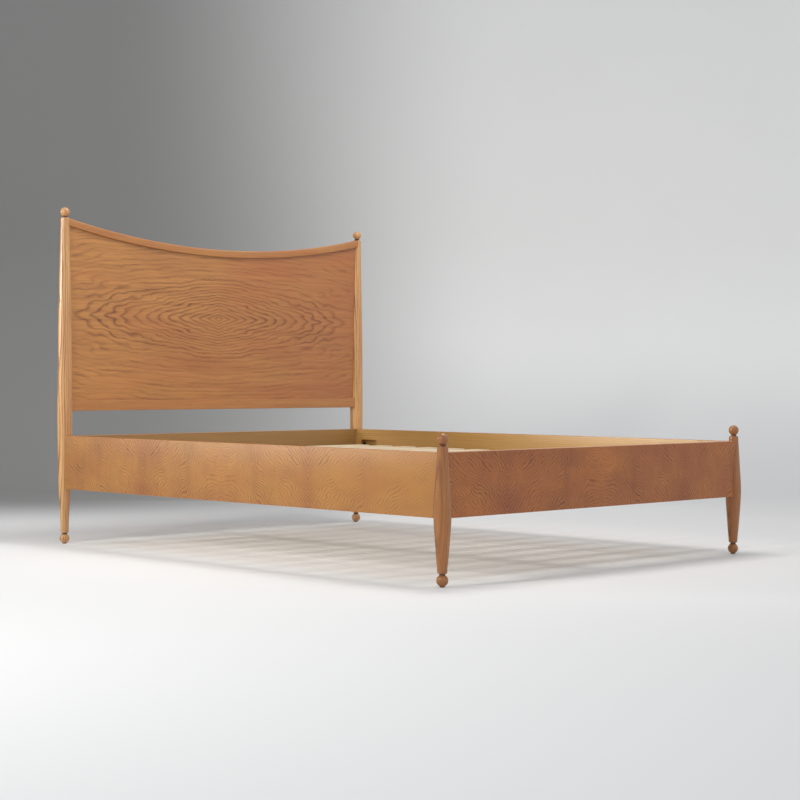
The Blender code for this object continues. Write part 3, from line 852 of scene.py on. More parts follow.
# ---- Turned work --------------------------------------------------------------------------------
@dataclass
class TurnedWork(Assembly):
    """The four posts with their finials, ball feet and glides."""

    # The head posts' ash is painted lighter as painted light, and the foot posts' darker as painted shade.
    head_lit_finish: Material | None = None
    foot_shaded_finish: Material | None = None
    # the necks' finish is painted dark as shade
    neck_shade_finish: Material | None = None
    glide_finish: Material | None = None
    head_stations: Outline = ((1.3025, 0.0178), (1.155, 0.0200), (0.950, 0.0250), (0.720, 0.0278),
                              (0.506, 0.0295), (0.300, 0.0265), (0.190, 0.0230), (0.100, 0.0175),
                              (0.0455, 0.0160))
    foot_stations: Outline = ((0.4475, 0.0173), (0.345, 0.0238), (0.242, 0.0295), (0.138, 0.0238),
                              (0.0455, 0.0160))
    shoulder_round: float = 0.003
    neck_drop: float = 0.0415
    neck_radius: float = 0.010
    ball_radius: float = 0.019
    foot_ball_radius: float = 0.0195
    foot_ball_centre: float = 0.0205
    post_bottom: float = 0.0435
    cove: float = 0.0022  # small hollow where a neck meets its ball
    seat: float = 0.009
    rail_half: float = 0.016
    sill_seat: float = 0.012
    panel_seat: float = 0.010
    flank: float = 0.060  # how far the cutters run, past the post's flank
    steps: int = 10

    def curve(self, stations: Outline) -> list[tuple[float, float]]:
        """Run a smooth curve through the calliper stations.

        Args:
            stations: (height, radius) from the top down.

        Returns:
            (radius, height) points from the top down.
        """
        last = len(stations) - 1
        widest = max(radius for _, radius in stations)
        slopes = []
        for i in range(len(stations)):
            above, below = stations[max(i - 1, 0)], stations[min(i + 1, last)]
            slopes.append((below[1] - above[1]) / (below[0] - above[0]))
        points = []
        for i in range(last):
            (z0, r0), (z1, r1) = stations[i], stations[i + 1]
            drop = z1 - z0
            for step in range(self.steps):
                t = step / self.steps
                rise = 3 * t ** 2 - 2 * t ** 3
                bow = (t ** 3 - 2 * t ** 2 + t) * slopes[i] + (t ** 3 - t ** 2) * slopes[i + 1]
                points.append((min(r0 + (r1 - r0) * rise + drop * bow, widest), z0 + drop * t))
        return [*points, (stations[last][1], stations[last][0])]

    def outline(self, stations: Outline, shoulder: float) -> list[tuple[float, float]]:
        """A post's half section, with both shoulders rounded over.

        Args:
            stations: (height, radius) from the top down.
            shoulder: height of the post's top.

        Returns:
            (radius, height) points from the top down.
        """
        body = self.curve(stations)
        top, bottom = stations[0][1], stations[-1][1]
        drop = shoulder - stations[0][0]
        lift = stations[-1][0] - self.post_bottom
        upper = [(top - self.shoulder_round + self.shoulder_round * math.sin(a),
                  stations[0][0] + drop * math.cos(a)) for a in (math.pi / 16 * i for i in range(8))]
        lower = [(bottom - self.shoulder_round + self.shoulder_round * math.cos(a),
                  stations[-1][0] - lift * math.sin(a)) for a in (math.pi / 16 * i for i in range(1, 9))]
        return [(0.0, shoulder), *upper, *body, *lower, (0.0, self.post_bottom)]

    def post(self, corner: Corner) -> Mesh:
        """Turn one post and notch it for its rails.

        Args:
            corner: which post.

        Returns:
            Its mesh.
        """
        name = f"{corner.end.name.lower()}_post_{corner.side.name.lower()}"
        stations = self.head_stations if corner.end is End.HEAD else self.foot_stations
        _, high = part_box(name)
        mesh = turn(name, self.outline(stations, high.z), (corner.x, corner.y, 0.0), 96)
        low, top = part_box("foot_rail")
        heights = (low.z - GAP, top.z + GAP)
        near, far, outer = self.seat, self.flank, -self.rail_half - GAP
        cutters = [block("notch_x", corner.inward_x(near, far), corner.inward_y(outer, far), heights),
                   block("notch_y", corner.inward_x(outer, far), corner.inward_y(near, far), heights)]
        if corner.end is End.HEAD:
            cutters += self.headboard_seats(corner)
        return worked(mesh, cutters)

    def headboard_seats(self, corner: Corner) -> list[Mesh]:
        """Shapes cut from a head post for the headboard's rails and panel.

        Args:
            corner: which post.

        Returns:
            The cutters.
        """
        arch = Arch.from_frame()
        start, beyond = corner.inward_x(self.seat, 0.050)
        stations = [start + (beyond - start) * i / 4 for i in range(5)]
        half, under, over = 0.030, -arch.depth - GAP, 0.020
        seat = skin("cap_seat", [[(x, corner.y + y, arch.height(x) + z)
                                  for y, z in ((-half, under), (half, under), (half, over), (-half, over))]
                                 for x in stations])
        low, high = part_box("headboard_bottom_rail")
        panel_low, panel_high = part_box("headboard_panel")
        half_sill = (high.y - low.y) / 2 + GAP
        half_panel = (panel_high.y - panel_low.y) / 2 + GAP
        return [seat,
                block("sill_housing", corner.inward_x(self.sill_seat, self.flank),
                      (corner.y - half_sill, corner.y + half_sill), (low.z - GAP, high.z + GAP)),
                block("panel_groove", corner.inward_x(self.panel_seat - GAP, self.flank),
                      (corner.y - half_panel, corner.y + half_panel), (high.z - 0.005, panel_high.z - 0.004))]

    def finial(self, corner: Corner) -> Mesh:
        """Turn the ball and neck that stand on a post.

        Args:
            corner: which post.

        Returns:
            Its mesh.
        """
        _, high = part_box(f"finial_{corner.name}")
        radius, neck = self.ball_radius, self.neck_radius
        meeting = math.degrees(math.asin((neck + self.cove * 0.5) / radius))
        arc = [(0.0, high.z), *fillet((0.0, high.z - radius), radius, 90, -90 + meeting, 30)[1:]]
        shoulder = high.z - self.neck_drop + GAP
        waist = (arc[-1][1] + shoulder) / 2
        neck_line = [(neck, waist + 0.0004), (neck, waist - 0.0004),
                     (neck + self.cove * 0.35, shoulder + 0.0004), (neck + self.cove * 0.6, shoulder)]
        mesh = turn(f"finial_{corner.name}", [*arc, *neck_line, (0.0, shoulder)], (corner.x, corner.y, 0.0))
        for face in mesh.polygons:
            face.material_index = int(face.center.z < arc[-1][1])  # the neck is the second finish, painted dark as shade
        return mesh

    def foot(self, corner: Corner) -> Mesh:
        """Turn the ball foot under a post.

        Args:
            corner: which post.

        Returns:
            Its mesh.
        """
        low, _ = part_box(f"ball_foot_{corner.name}")
        radius, centre = self.foot_ball_radius, self.foot_ball_centre
        meeting = math.degrees(math.asin((self.neck_radius + self.cove * 0.5) / radius))
        base = math.degrees(math.asin((centre - low.z) / radius))
        top = self.post_bottom - GAP
        arc = fillet((0.0, centre), radius, 90 - meeting, -base, 30)
        neck_line = [(0.0, top), (self.neck_radius + self.cove * 0.6, top),
                     (self.neck_radius + self.cove * 0.3, top - 0.0004),
                     (self.neck_radius, (top + arc[0][1]) / 2)]
        mesh = turn(f"ball_foot_{corner.name}", [*neck_line, *arc, (0.0, low.z)], (corner.x, corner.y, 0.0))
        for face in mesh.polygons:
            # the neck is the second finish, painted dark as shade
            face.material_index = int(face.center.z > arc[0][1])
        return mesh

    def glide(self, corner: Corner) -> Mesh:
        """Mould the nail-on glide under a foot.

        Args:
            corner: which post.

        Returns:
            Its mesh.
        """
        low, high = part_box(f"glide_{corner.name}")
        radius, thick, pin = (high.x - low.x) / 2, 0.002, 0.002
        edge = 0.0006
        outline = [(0.0, high.z), (pin, high.z - 0.001), (pin, thick), (radius - edge, thick),
                   *fillet((radius - edge, thick - edge), edge, 90, 0, 4)[1:],
                   *fillet((radius - edge, edge), edge, 0, -90, 4), (0.0, 0.0)]
        return turn(f"glide_{corner.name}", outline, (corner.x, corner.y, 0.0), 48)

    def build(self) -> None:
        """Turn and fit every piece."""
        for corner in self.corners:
            ash = self.head_lit_finish if corner.end is End.HEAD else self.foot_shaded_finish
            post = f"{corner.end.name.lower()}_post_{corner.side.name.lower()}"
            for node, shape, slot, finishes in (
                    (post, self.post, Slot.TURNED, [ash]),
                    (f"finial_{corner.name}", self.finial, Slot.TURNED, [ash, self.neck_shade_finish]),
                    (f"ball_foot_{corner.name}", self.foot, Slot.TURNED, [ash, self.neck_shade_finish]),
                    (f"glide_{corner.name}", self.glide, Slot.NYLON, [self.glide_finish])):
                self.fit(f"{node}_turned", shape(corner), slot, finishes, node)


# ---- Headboard ----------------------------------------------------------------------------------
@dataclass(frozen=True)
class Arch:
    """The headboard's dished top edge, a circle's arc that is lowest in the middle."""

    low: float
    radius: float
    half: float
    depth: float = 0.030  # the top rail's height

    @classmethod
    def from_frame(cls) -> "Arch":
        """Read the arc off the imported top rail.

        Returns:
            The arc.
        """
        points = [vertex.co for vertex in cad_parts["headboard_top_rail"].data.vertices]
        middle = max(point.z for point in points if abs(point.x) < 0.001)
        end = max(points, key=lambda point: (round(point.z, 5), point.x))
        rise = end.z - middle
        return cls(middle, (end.x ** 2 + rise ** 2) / (2 * rise), end.x)

    def height(self, x: float) -> float:
        """Height of the arc at a distance across the bed."""
        return self.low + self.radius - math.sqrt(self.radius ** 2 - x ** 2)


@dataclass
class Headboard(Assembly):
    """A veneered panel grooved into a dished top rail and a straight bottom rail."""

    panel_finish: Material | None = None
    back_finish: Material | None = None
    rail_finish: Material | None = None
    stations: int = 64
    top_round: float = 0.0055
    low_round: float = 0.0015
    sill_round: float = 0.002
    lap: float = 0.006  # how far the panel runs into the top rail
    groove_depth: float = 0.0063
    sill_seat: float = 0.012

    def build(self) -> None:
        """Build and fit the panel and both rails."""
        arch = Arch.from_frame()
        low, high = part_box("headboard_panel")
        middle, half_panel = (low.y + high.y) / 2, (high.y - low.y) / 2
        loops = []
        for x in self.spread(high.x):
            top = arch.height(x) - arch.depth + self.lap
            loops.append([(x, low.y, low.z), (x, high.y, low.z), (x, high.y, top), (x, low.y, top)])
        panel = skin("headboard_panel", loops)
        for face in panel.polygons:
            face.material_index = 1 if face.normal.y > 0.9 else 0
            face.use_smooth = False
        self.fit("headboard_panel_veneered", panel, Slot.VENEER, [self.panel_finish, self.back_finish],
                 "headboard_panel")

        cap_low, cap_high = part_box("headboard_top_rail")
        half = (cap_high.y - cap_low.y) / 2
        groove = half_panel + GAP
        section = [(groove, 0.0), (half - self.low_round, 0.0),
                   *fillet((half - self.low_round, self.low_round), self.low_round, -90, 0, 4),
                   *fillet((half - self.top_round, arch.depth - self.top_round), self.top_round, 0, 90, 8)]
        front = [(-y, z) for y, z in reversed(section)]
        closed = [*section, *front, (-groove, self.groove_depth), (groove, self.groove_depth)]
        loops = [[(x, middle + y, arch.height(x) - arch.depth + z) for y, z in closed]
                 for x in self.spread(arch.half)]
        self.fit("headboard_top_rail_dished", skin("headboard_top_rail", loops), Slot.VENEER,
                 [self.rail_finish], "headboard_top_rail")

        sill_low, sill_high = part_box("headboard_bottom_rail")
        half = (sill_high.y - sill_low.y) / 2
        tall = sill_high.z - sill_low.z
        small = self.sill_round
        section = [(0.0, 0.0), (half - small, 0.0), *fillet((half - small, small), small, -90, 0, 4),
                   *fillet((half - small, tall - small), small, 0, 90, 4), (groove, tall),
                   (groove, tall - self.groove_depth)]
        closed = [*section, *[(-y, z) for y, z in reversed(section[1:])]]
        reach = abs(self.corners[0].x) - self.sill_seat - GAP
        loops = [[(x, middle + y, sill_low.z + z) for y, z in closed] for x in (-reach, 0.0, reach)]
        sill = skin("headboard_bottom_rail", loops)
        flatten_planes(sill)
        self.fit("headboard_bottom_rail_grooved", sill, Slot.VENEER, [self.rail_finish],
                 "headboard_bottom_rail")

    def spread(self, half: float) -> list[float]:
        """Even stations across the bed from -half to half."""
        return [half * (2 * i / self.stations - 1) for i in range(self.stations + 1)]


# ---- Rails --------------------------------------------------------------------------------------
@dataclass
class Rails(Assembly):
    """The foot rail, the head cross rail and both side rails, veneered on plywood cores."""

    foot_shaded_finish: Material | None = None
    side_finish: Material | None = None
    inner_finish: Material | None = None
    shade_finish: Material | None = None
    edge_x_finish: Material | None = None
    edge_y_finish: Material | None = None
    seat: float = 0.009
    half_thick: float = 0.016
    arris: float = 0.0015
    bolt_z: float = 0.365
    pocket_ends: tuple[float, float] = (0.049, 0.150)
    pocket_heights: tuple[float, float] = (0.346, 0.384)
    pocket_depth: float = 0.025
    pocket_round: float = 0.006
    bolt_hole_radius: float = 0.0045

    def plank(self, name: str, lengthwise: int) -> Mesh:
        """One rail, square at its outer face and mitred where two inner faces meet.

        Args:
            name: the frame node it stands for.
            lengthwise: the axis it runs along.

        Returns:
            Its mesh.
        """
        low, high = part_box(name)
        crosswise = 1 - lengthwise
        middle = (low[crosswise] + high[crosswise]) / 2
        out = math.copysign(1.0, middle)
        posts = (abs(self.corners[0].x), abs(self.corners[0].y))
        tip = posts[lengthwise] - self.seat - GAP
        inner_tip = posts[lengthwise] - self.half_thick - GAP / 2
        outer, inner = abs(middle) + self.half_thick, abs(middle) - self.half_thick
        bend = abs(middle) - self.seat - GAP / 2
        plan = [(-tip, outer), (tip, outer), (tip, bend), (inner_tip, inner), (-inner_tip, inner),
                (-tip, bend)]
        bm = bmesh.new()
        rows = []
        for z in (low.z, high.z):
            row = []
            for along, across in plan:
                point = [0.0, 0.0, z]
                point[lengthwise], point[crosswise] = along, out * across
                row.append(bm.verts.new(point))
            rows.append(row)
        for i in range(len(plan)):
            j = (i + 1) % len(plan)
            bm.faces.new((rows[0][i], rows[0][j], rows[1][j], rows[1][i]))
        bm.faces.new(rows[0])
        bm.faces.new(rows[1])
        long_edges = [edge for edge in bm.edges
                      if abs(edge.verts[0].co[lengthwise] - edge.verts[1].co[lengthwise]) > 0.5]
        bmesh.ops.bevel(bm, geom=long_edges, offset=self.arris, segments=4, profile=0.5, affect="EDGES",
                        clamp_overlap=True)
        mesh = finished_mesh(bm, name)
        flatten_planes(mesh)
        return mesh

    def bolt_cutters(self, side: Side) -> list[Mesh]:
        """Pockets and bolt holes for one side rail.

        Args:
            side: which rail.

        Returns:
            The cutters.
        """
        cutters = []
        for corner in self.corners:
            if corner.side is not side:
                continue
            depths = sorted(corner.inward_x(self.half_thick - self.pocket_depth, self.half_thick + 0.010))
            ends = sorted(corner.inward_y(*self.pocket_ends))
            cutters.append(eased_board("pocket", (depths[0], ends[0], self.pocket_heights[0]),
                                       (depths[1], ends[1], self.pocket_heights[1]), self.pocket_round, 6,
                                       only=0))
            start, stop = corner.inward_y(self.pocket_ends[0] + 0.004, 0.0)
            length = abs(stop - start)
            bore = self.bolt_hole_radius
            cutters.append(turn("bolt_hole", [(0.0, 0.0), (bore, 0.0), (bore, length), (0.0, length)],
                                (corner.x, start, self.bolt_z), 24, axis_to=(0, stop - start, 0)))
        return cutters

    def veneer(self, mesh: Mesh, crosswise: int, out: float) -> None:
        """Give each face its sheet: show veneer outside, plain inside, solid lippings on the edges. On the
        cross rails the inside sheet is also darkened as painted shade.

        Args:
            mesh: the rail.
            crosswise: the axis through its thickness.
            out: which way is outside along that axis.
        """
        for face in mesh.polygons:
            facing = face.normal[crosswise] * out
            face.material_index = 0 if facing > 0.9 else 1 if facing < -0.9 else 2

    def build(self) -> None:
        """Build and fit all four rails."""
        for name, show in (("foot_rail", self.foot_shaded_finish), ("head_cross_rail", self.foot_shaded_finish)):
            mesh = self.plank(name, 0)
            out = -1.0 if name == "foot_rail" else 1.0
            self.veneer(mesh, 1, out)
            self.fit(f"{name}_veneered", mesh, Slot.VENEER, [show, self.shade_finish, self.edge_x_finish],
                     name)
        for side in Side:
            name = f"side_rail_{side.name.lower()}"
            mesh = worked(self.plank(name, 1), self.bolt_cutters(side))
            self.veneer(mesh, 0, float(side.value))
            self.fit(f"{name}_veneered", mesh, Slot.VENEER,
                     [self.side_finish, self.inner_finish, self.edge_y_finish], name)


# ---- Slats and their supports -------------------------------------------------------------------
@dataclass
class SlatDeck(Assembly):
    """Loose slats joined by two webbing straps; they lift out together."""

    body: Body = Body.SLAT_DECK
    slat_finish: Material | None = None
    strap_finish: Material | None = None
    arris: float = 0.003
    strap_steps: int = 60

    def build(self) -> None:
        """Build and fit the slats and straps."""
        slats = sorted(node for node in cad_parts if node.startswith("slat_") and node[5:].isdigit())
        for node in slats:
            low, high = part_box(node)
            self.fit(f"{node}_planed", eased_board(node, low, high, self.arris, 5), Slot.SLAT,
                     [self.slat_finish], node)
        for side in Side:
            node = f"slat_strap_{side.name.lower()}"
            low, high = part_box(node)
            self.fit(f"{node}_woven", self.strap(node, low, high), Slot.WEBBING, [self.strap_finish], node)

    def strap(self, name: str, low: Vector, high: Vector) -> Mesh:
        """A strap with soft selvedges, thinner at its woven edges.

        Args:
            name: name for the mesh.
            low: lowest corner.
            high: highest corner.

        Returns:
            The strap.
        """
        middle, half, thick = (low.x + high.x) / 2, (high.x - low.x) / 2, high.z - low.z
        # Shares of its half width, each with how much thinner the strap is there on either face.
        right = ((0.0, 0.0), (0.5, 0.0), (0.9, 0.0), (0.97, 0.12), (1.0, 0.35))
        section = [(share * half, drop * thick) for share, drop in
                   [*[(-share, drop) for share, drop in reversed(right[1:])], *right]]
        loop = [*section, *[(x, thick - z) for x, z in reversed(section)]]
        loops = [[(middle + x, low.y + (high.y - low.y) * i / self.strap_steps, low.z + z) for x, z in loop]
                 for i in range(self.strap_steps + 1)]
        return skin(name, loops)


@dataclass
class Supports(Assembly):
    """Cleats under the slats' ends, and the middle beam in its steel stirrups."""

    timber_finish: Material | None = None
    zinc_finish: Material | None = None
    timber_arris: float = 0.002
    stirrup_easing: float = 0.0004
    head_thick: float = 0.0030
    head_radius: float = 0.0040
    shank_radius: float = 0.0020
    recess_half: float = 0.0020
    recess_thin: float = 0.00045

    def build(self) -> None:
        """Build and fit the cleats and beam, and plate the stirrups with their edges broken."""
        for node in ("side_cleat_left", "side_cleat_right", "centre_beam"):
            low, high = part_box(node)
            self.fit(f"{node}_planed", eased_board(node, low, high, self.timber_arris), Slot.CLEAT,
                     [self.timber_finish], node)
        for end in End:
            stirrup = self.keep(f"beam_bracket_{end.name.lower()}", Slot.ZINC, self.zinc_finish)
            easing = stirrup.modifiers.new("EasedEdges", "BEVEL")
            easing.width = self.stirrup_easing
            easing.segments = 2
            easing.limit_method = "ANGLE"
            for side in Side:
                self.screw(f"bracket_screw_{end.name.lower()}_{side.name.lower()}", end)

    def screw(self, node: str, end: End) -> None:
        """A pan-head screw with a cross recess.

        Args:
            node: the frame node it stands for.
            end: the end of the bed it is driven into.
        """
        low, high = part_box(node)
        x, z = (low.x + high.x) / 2, (low.z + high.z) / 2
        tip = high.y if end is End.HEAD else low.y
        crown = low.y if end is End.HEAD else high.y
        length = abs(tip - crown)
        under = length - self.head_thick
        dome = fillet((0.0014, under + self.head_thick / 4), 0.0026, 80, 5, 8)
        outline = [(0.0, length), (0.0010, length - 0.00002), *dome, (self.head_radius, under),
                   (self.shank_radius, under), (self.shank_radius - 0.0001, 0.004), (0.0, 0.0)]
        mesh = turn(node, outline, (x, tip, z), 32, axis_to=(0, crown - tip, 0))
        depth = (crown - 0.001 * end.value, crown + (tip - crown) * 0.075)
        wide, thin = self.recess_half, self.recess_thin
        bars = [block("recess", (x - across, x + across), depth, (z - tall, z + tall))
                for across, tall in ((wide, thin), (thin, wide))]
        self.fit(f"{node}_driven", worked(mesh, bars), Slot.ZINC, [self.zinc_finish], node)


@dataclass
class Hardware(Assembly):
    """The bed bolts with their washers and the inserts they screw into."""

    bolt_finish: Material | None = None
    zinc_finish: Material | None = None
    shank_radius: float = 0.004
    head_thick: float = 0.0055
    head_radius: float = 0.0075
    tip_chamfer: float = 0.0006
    sides: int = 72

    def build(self) -> None:
        """Build and fit the fasteners at each corner."""
        for corner in self.corners:
            self.bolt(corner)
            self.washer(corner)
            self.keep(f"insert_nut_{corner.name}", Slot.ZINC, self.zinc_finish)

    def bolt(self, corner: Corner) -> None:
        """A hexagon-head bolt whose corners are chamfered, as bar stock is.

        Args:
            corner: which corner.
        """
        node = f"bed_bolt_{corner.name}"
        low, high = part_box(node)
        z = (low.z + high.z) / 2
        tip = high.y if corner.end is End.HEAD else low.y
        crown = low.y if corner.end is End.HEAD else high.y
        length = abs(tip - crown)
        under = length - self.head_thick
        apothem = self.head_radius * math.cos(math.pi / 6)
        flat = apothem * 0.96
        angles = [math.tau * i / self.sides for i in range(self.sides)]
        hexed = [apothem / math.cos((angle % (math.pi / 3)) - math.pi / 6) for angle in angles]
        shank, tip_round = self.shank_radius, self.tip_chamfer
        rings = [[(radius, height)] * self.sides
                 for radius, height in ((shank - tip_round, 0.0), (shank, tip_round), (shank, under))]
        rings += [[(radius, under) for radius in hexed],
                  [(radius, length - (radius - flat) * math.tan(math.radians(30))) for radius in hexed],
                  [(flat, length)] * self.sides]
        mesh = skin(node, [[(radius * math.cos(angle), radius * math.sin(angle), height)
                            for angle, (radius, height) in zip(angles, ring)] for ring in rings])
        aim = Vector((0, crown - tip, 0)).to_track_quat("Z", "Y").to_matrix().to_4x4()
        mesh.transform(Matrix.Translation((corner.x, tip, z)) @ aim)
        self.fit(f"{node}_forged", mesh, Slot.BLACK, [self.bolt_finish], node)

    def washer(self, corner: Corner) -> None:
        """A flat washer, rounded over on the side it was stamped from.

        Args:
            corner: which corner.
        """
        node = f"washer_{corner.name}"
        low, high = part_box(node)
        radius, thick = (high.x - low.x) / 2, high.y - low.y
        bore = self.shank_radius + GAP
        edge = thick * 0.35
        outline = [(bore, 0.0), (bore, thick), *fillet((radius - edge, thick - edge), edge, 90, 0, 5),
                   (radius, 0.0)]
        base = high.y if corner.end is End.HEAD else low.y
        mesh = turn(node, outline, (corner.x, base, (low.z + high.z) / 2), 64, ring=True,
                    axis_to=(0, -corner.end.value, 0))
        self.fit(f"{node}_stamped", mesh, Slot.ZINC, [self.zinc_finish], node)


# ---- Studio -------------------------------------------------------------------------------------
@dataclass(frozen=True)
class PaintedBackdrop(Finish):
    """Matt emulsion on the studio's floor and sweep, with a faint roller texture; its changes of tone are
    painted light and shade.
    """

    span: tuple[float, float] = (-1.0, 1.0)  # metres across the view over which one turns to the other
    slant: float = 0.55  # how far the change of tone leans over, in metres to the left for each metre up
    back_left_shadow: str = "#F1F1F1"  # painted shadow at the back on the left, where the floor runs up into the sweep
    back_left_shadow_depth: tuple[float, float] = (0.9, 2.7)  # metres behind the bed's middle
    back_left_shadow_width: tuple[float, float] = (-2.0, 0.8)  # metres across the view
    sweep_foot_shade: str | None = None  # painted shade on a sweep's right, where it meets the floor
    sweep_foot_shade_height: float = 1.0
    one_sided: bool = False
    light: str = "#F1F1F1"  # its tone on the left
    dark: str = "#F1F1F1"  # and on the right; the change between them is painted light and shade

    def pattern(self, tree: Tree, place: Socket) -> Surface:
        """Draw a slow change of tone from left to right, as painted light and shade."""
        axes = add_node(tree, "SeparateXYZ", {0: place})
        leaning = weighted(tree, axes["X"], (axes["Z"], self.slant))
        share, deep, left, low = (
            add_node(tree, "MapRange", {0: way, 1: start, 2: stop, 3: 1.0 - after, 4: after},
                     interpolation_type="SMOOTHSTEP")[0]
            for way, (start, stop), after in ((leaning, self.span, 1.0), (axes["Y"], self.back_left_shadow_depth, 1.0),
                                              (axes["X"], self.back_left_shadow_width, 0.0),
                                              (axes["Z"], (0.0, self.sweep_foot_shade_height), 0.0)))
        roller = mottle(tree, place, (500, 500, 500), 3.0, 1.0)
        colour = self.tone(tree, weighted(tree, share, (roller, 0.05)))
        # Painted shade at the foot of the sweep on the right, and a painted shadow at the back on the left.
        for paint, one, other in ((self.sweep_foot_shade, low, share), (self.back_left_shadow, deep, left)):
            if paint is not None:
                both = add_node(tree, "Math", {0: one, 1: other}, operation="MULTIPLY")[0]
                colour = add_node(tree, "Mix", {0: both, 6: colour, 7: linear(paint)}, data_type="RGBA")[2]
        return Surface(colour, weighted(tree, 0.9, (roller, 0.1)), weighted(tree, 0.5, (roller, 0.1)))

    def build(self) -> Material:
        """Make the paint; a one-sided sheet is seen through from behind.

        Returns:
            The finished material.
        """
        material = super().build()
        if self.one_sided:
            tree = material.node_tree
            output = next(node for node in tree.nodes if node.type == "OUTPUT_MATERIAL")
            shader = output.inputs["Surface"].links[0].from_socket
            behind = add_node(tree, "NewGeometry")["Backfacing"]
            clear = add_node(tree, "BsdfTransparent")[0]
            mixed = add_node(tree, "MixShader", {0: behind, 1: shader, 2: clear})
            tree.links.new(mixed[0], output.inputs["Surface"])
        return material


@dataclass
class Studio:
    """A pale floor and sweep, a lamp on the left, soft light all round, and the camera."""

    camera_place: tuple[float, float, float] = (-5.00346, -5.01623, 0.66790)
    turn_right: float = 0.788715  # radians from looking along +Y
    tilt: float = -0.0120866
    roll: float = 0.0037457
    lens: float = 81.33
    sweep_distance: float = 3.3  # from the bed's middle to where the floor starts to rise
    sweep_radius: float = 1.6
    sweep_height: float = 7.0
    sweep_half_width: float = 14.0
    key_place: tuple[float, float, float] = (-4.5, -0.4, 2.2)
    key_aim: tuple[float, float, float] = (0.85, -0.45, -0.25)  # across the bed, a little towards the foot
    key_size: float = 0.5
    key_watts: float = 60.0
    lamp_tint: str = "#FFFCF7"  # the lamps are a little warmer than the window
    top_place: tuple[float, float, float] = (0.2, -0.2, 3.4)
    top_size: float = 1.1
    top_watts: float = 46.0
    sky: str = "#E5E8ED"
    rim_place: tuple[float, float, float] = (-3.4, 2.5, 1.6)
    rim_aim: tuple[float, float, float] = (0.78, -0.60, -0.18)
    rim_size: float = 1.2
    rim_watts: float = 10.0
    rim_spread: float = 50.0  # degrees; a cloth grid keeps its light off the backdrop
    window_side: tuple[float, float, float] = (0.60, -0.70, 0.40)
    fill: tuple[float, float] = (0.12, 1.35)  # strength away from the window and towards it

    def camera(self) -> None:
        """Set up the camera."""
        across = Vector((math.cos(self.turn_right), -math.sin(self.turn_right), 0.0))
        ahead = Vector((math.sin(self.turn_right) * math.cos(self.tilt),
                        math.cos(self.turn_right) * math.cos(self.tilt), math.sin(self.tilt)))
        up = across.cross(ahead)
        right = across * math.cos(self.roll) + up * math.sin(self.roll)
        top = up * math.cos(self.roll) - across * math.sin(self.roll)
        data = bpy.data.cameras.new("camera")
        data.sensor_width = 36.0
        data.lens = self.lens
        data.clip_start, data.clip_end = 0.05, 200.0
        camera = bpy.data.objects.new("camera", data)
        bpy.context.scene.collection.objects.link(camera)
        turned = Matrix((right, top, -ahead)).transposed().to_4x4()
        camera.matrix_world = Matrix.Translation(self.camera_place) @ turned
        bpy.context.scene.camera = camera

    def floor(self) -> None:
        """Lay the floor and hang the sweep square to the view."""
        bm = bmesh.new()
        bmesh.ops.create_circle(bm, cap_ends=True, radius=60.0, segments=96)
        bmesh.ops.translate(bm, vec=(0, 0, -0.0008), verts=bm.verts)
        ground = bpy.data.objects.new("studio_floor", finished_mesh(bm, "studio_floor", soft=False))
        # Painted light and shade: lighter on the left, darker to the right, with a painted shadow at the back
        # on the left.
        ground.data.materials.append(PaintedBackdrop("floor_paint", light="#EDEDEC", dark="#D9D8D7",
                                                     back_left_shadow="#979695", span=(-2.0, 2.5)).build())
        arc = fillet((self.sweep_distance, self.sweep_radius), self.sweep_radius, -90, 0, 24)
        section = [(self.sweep_distance - 0.6, -0.0004), *[(d, z - 0.0004) for d, z in arc],
                   (self.sweep_distance + self.sweep_radius, self.sweep_height)]
        columns = 28
        bm = bmesh.new()
        rows = [[bm.verts.new((self.sweep_half_width * (2 * i / columns - 1), d, z))
                 for d, z in section] for i in range(columns + 1)]
        for row, following in zip(rows, rows[1:]):
            for j in range(len(section) - 1):
                bm.faces.new((row[j], following[j], following[j + 1], row[j + 1]))
        mesh = bpy.data.meshes.new("studio_sweep")
        bm.to_mesh(mesh)
        bm.free()
        mesh.shade_smooth()
        sweep = bpy.data.objects.new("studio_sweep", mesh)
        # Painted shade: dark on the left, and darker on the right where it meets the floor.
        mesh.materials.append(PaintedBackdrop("sweep_paint", light="#969592", dark="#F7F6F3",
                                              back_left_shadow="#969592", sweep_foot_shade="#DBDAD9", span=(-2.4, 1.2),
                                              one_sided=True).build())
        for stage in (ground, sweep):
            stage.rotation_euler = (0.0, 0.0, -self.turn_right)
            bpy.context.scene.collection.objects.link(stage)

    def hang(self, name: str, place: Sequence[float], aim: Sequence[float], size: float,
             watts: float, spread: float = 180.0) -> None:
        """Hang one square softbox.

        Args:
            name: the lamp's name.
            place: where its middle hangs.
            aim: the direction it faces.
            size: length of its sides.
            watts: its power.
            spread: how wide its beam is, in degrees.
        """
        lamp = bpy.data.lights.new(name, "AREA")
        lamp.shape = "SQUARE"
        lamp.size = size
        lamp.energy = watts
        lamp.color = linear(self.lamp_tint)[:3]
        lamp.spread = math.radians(spread)
        softbox = bpy.data.objects.new(name, lamp)
        softbox.location = place
        softbox.rotation_euler = Vector(aim).to_track_quat("-Z", "Y").to_euler()
        softbox.visible_camera = False
        bpy.context.scene.collection.objects.link(softbox)

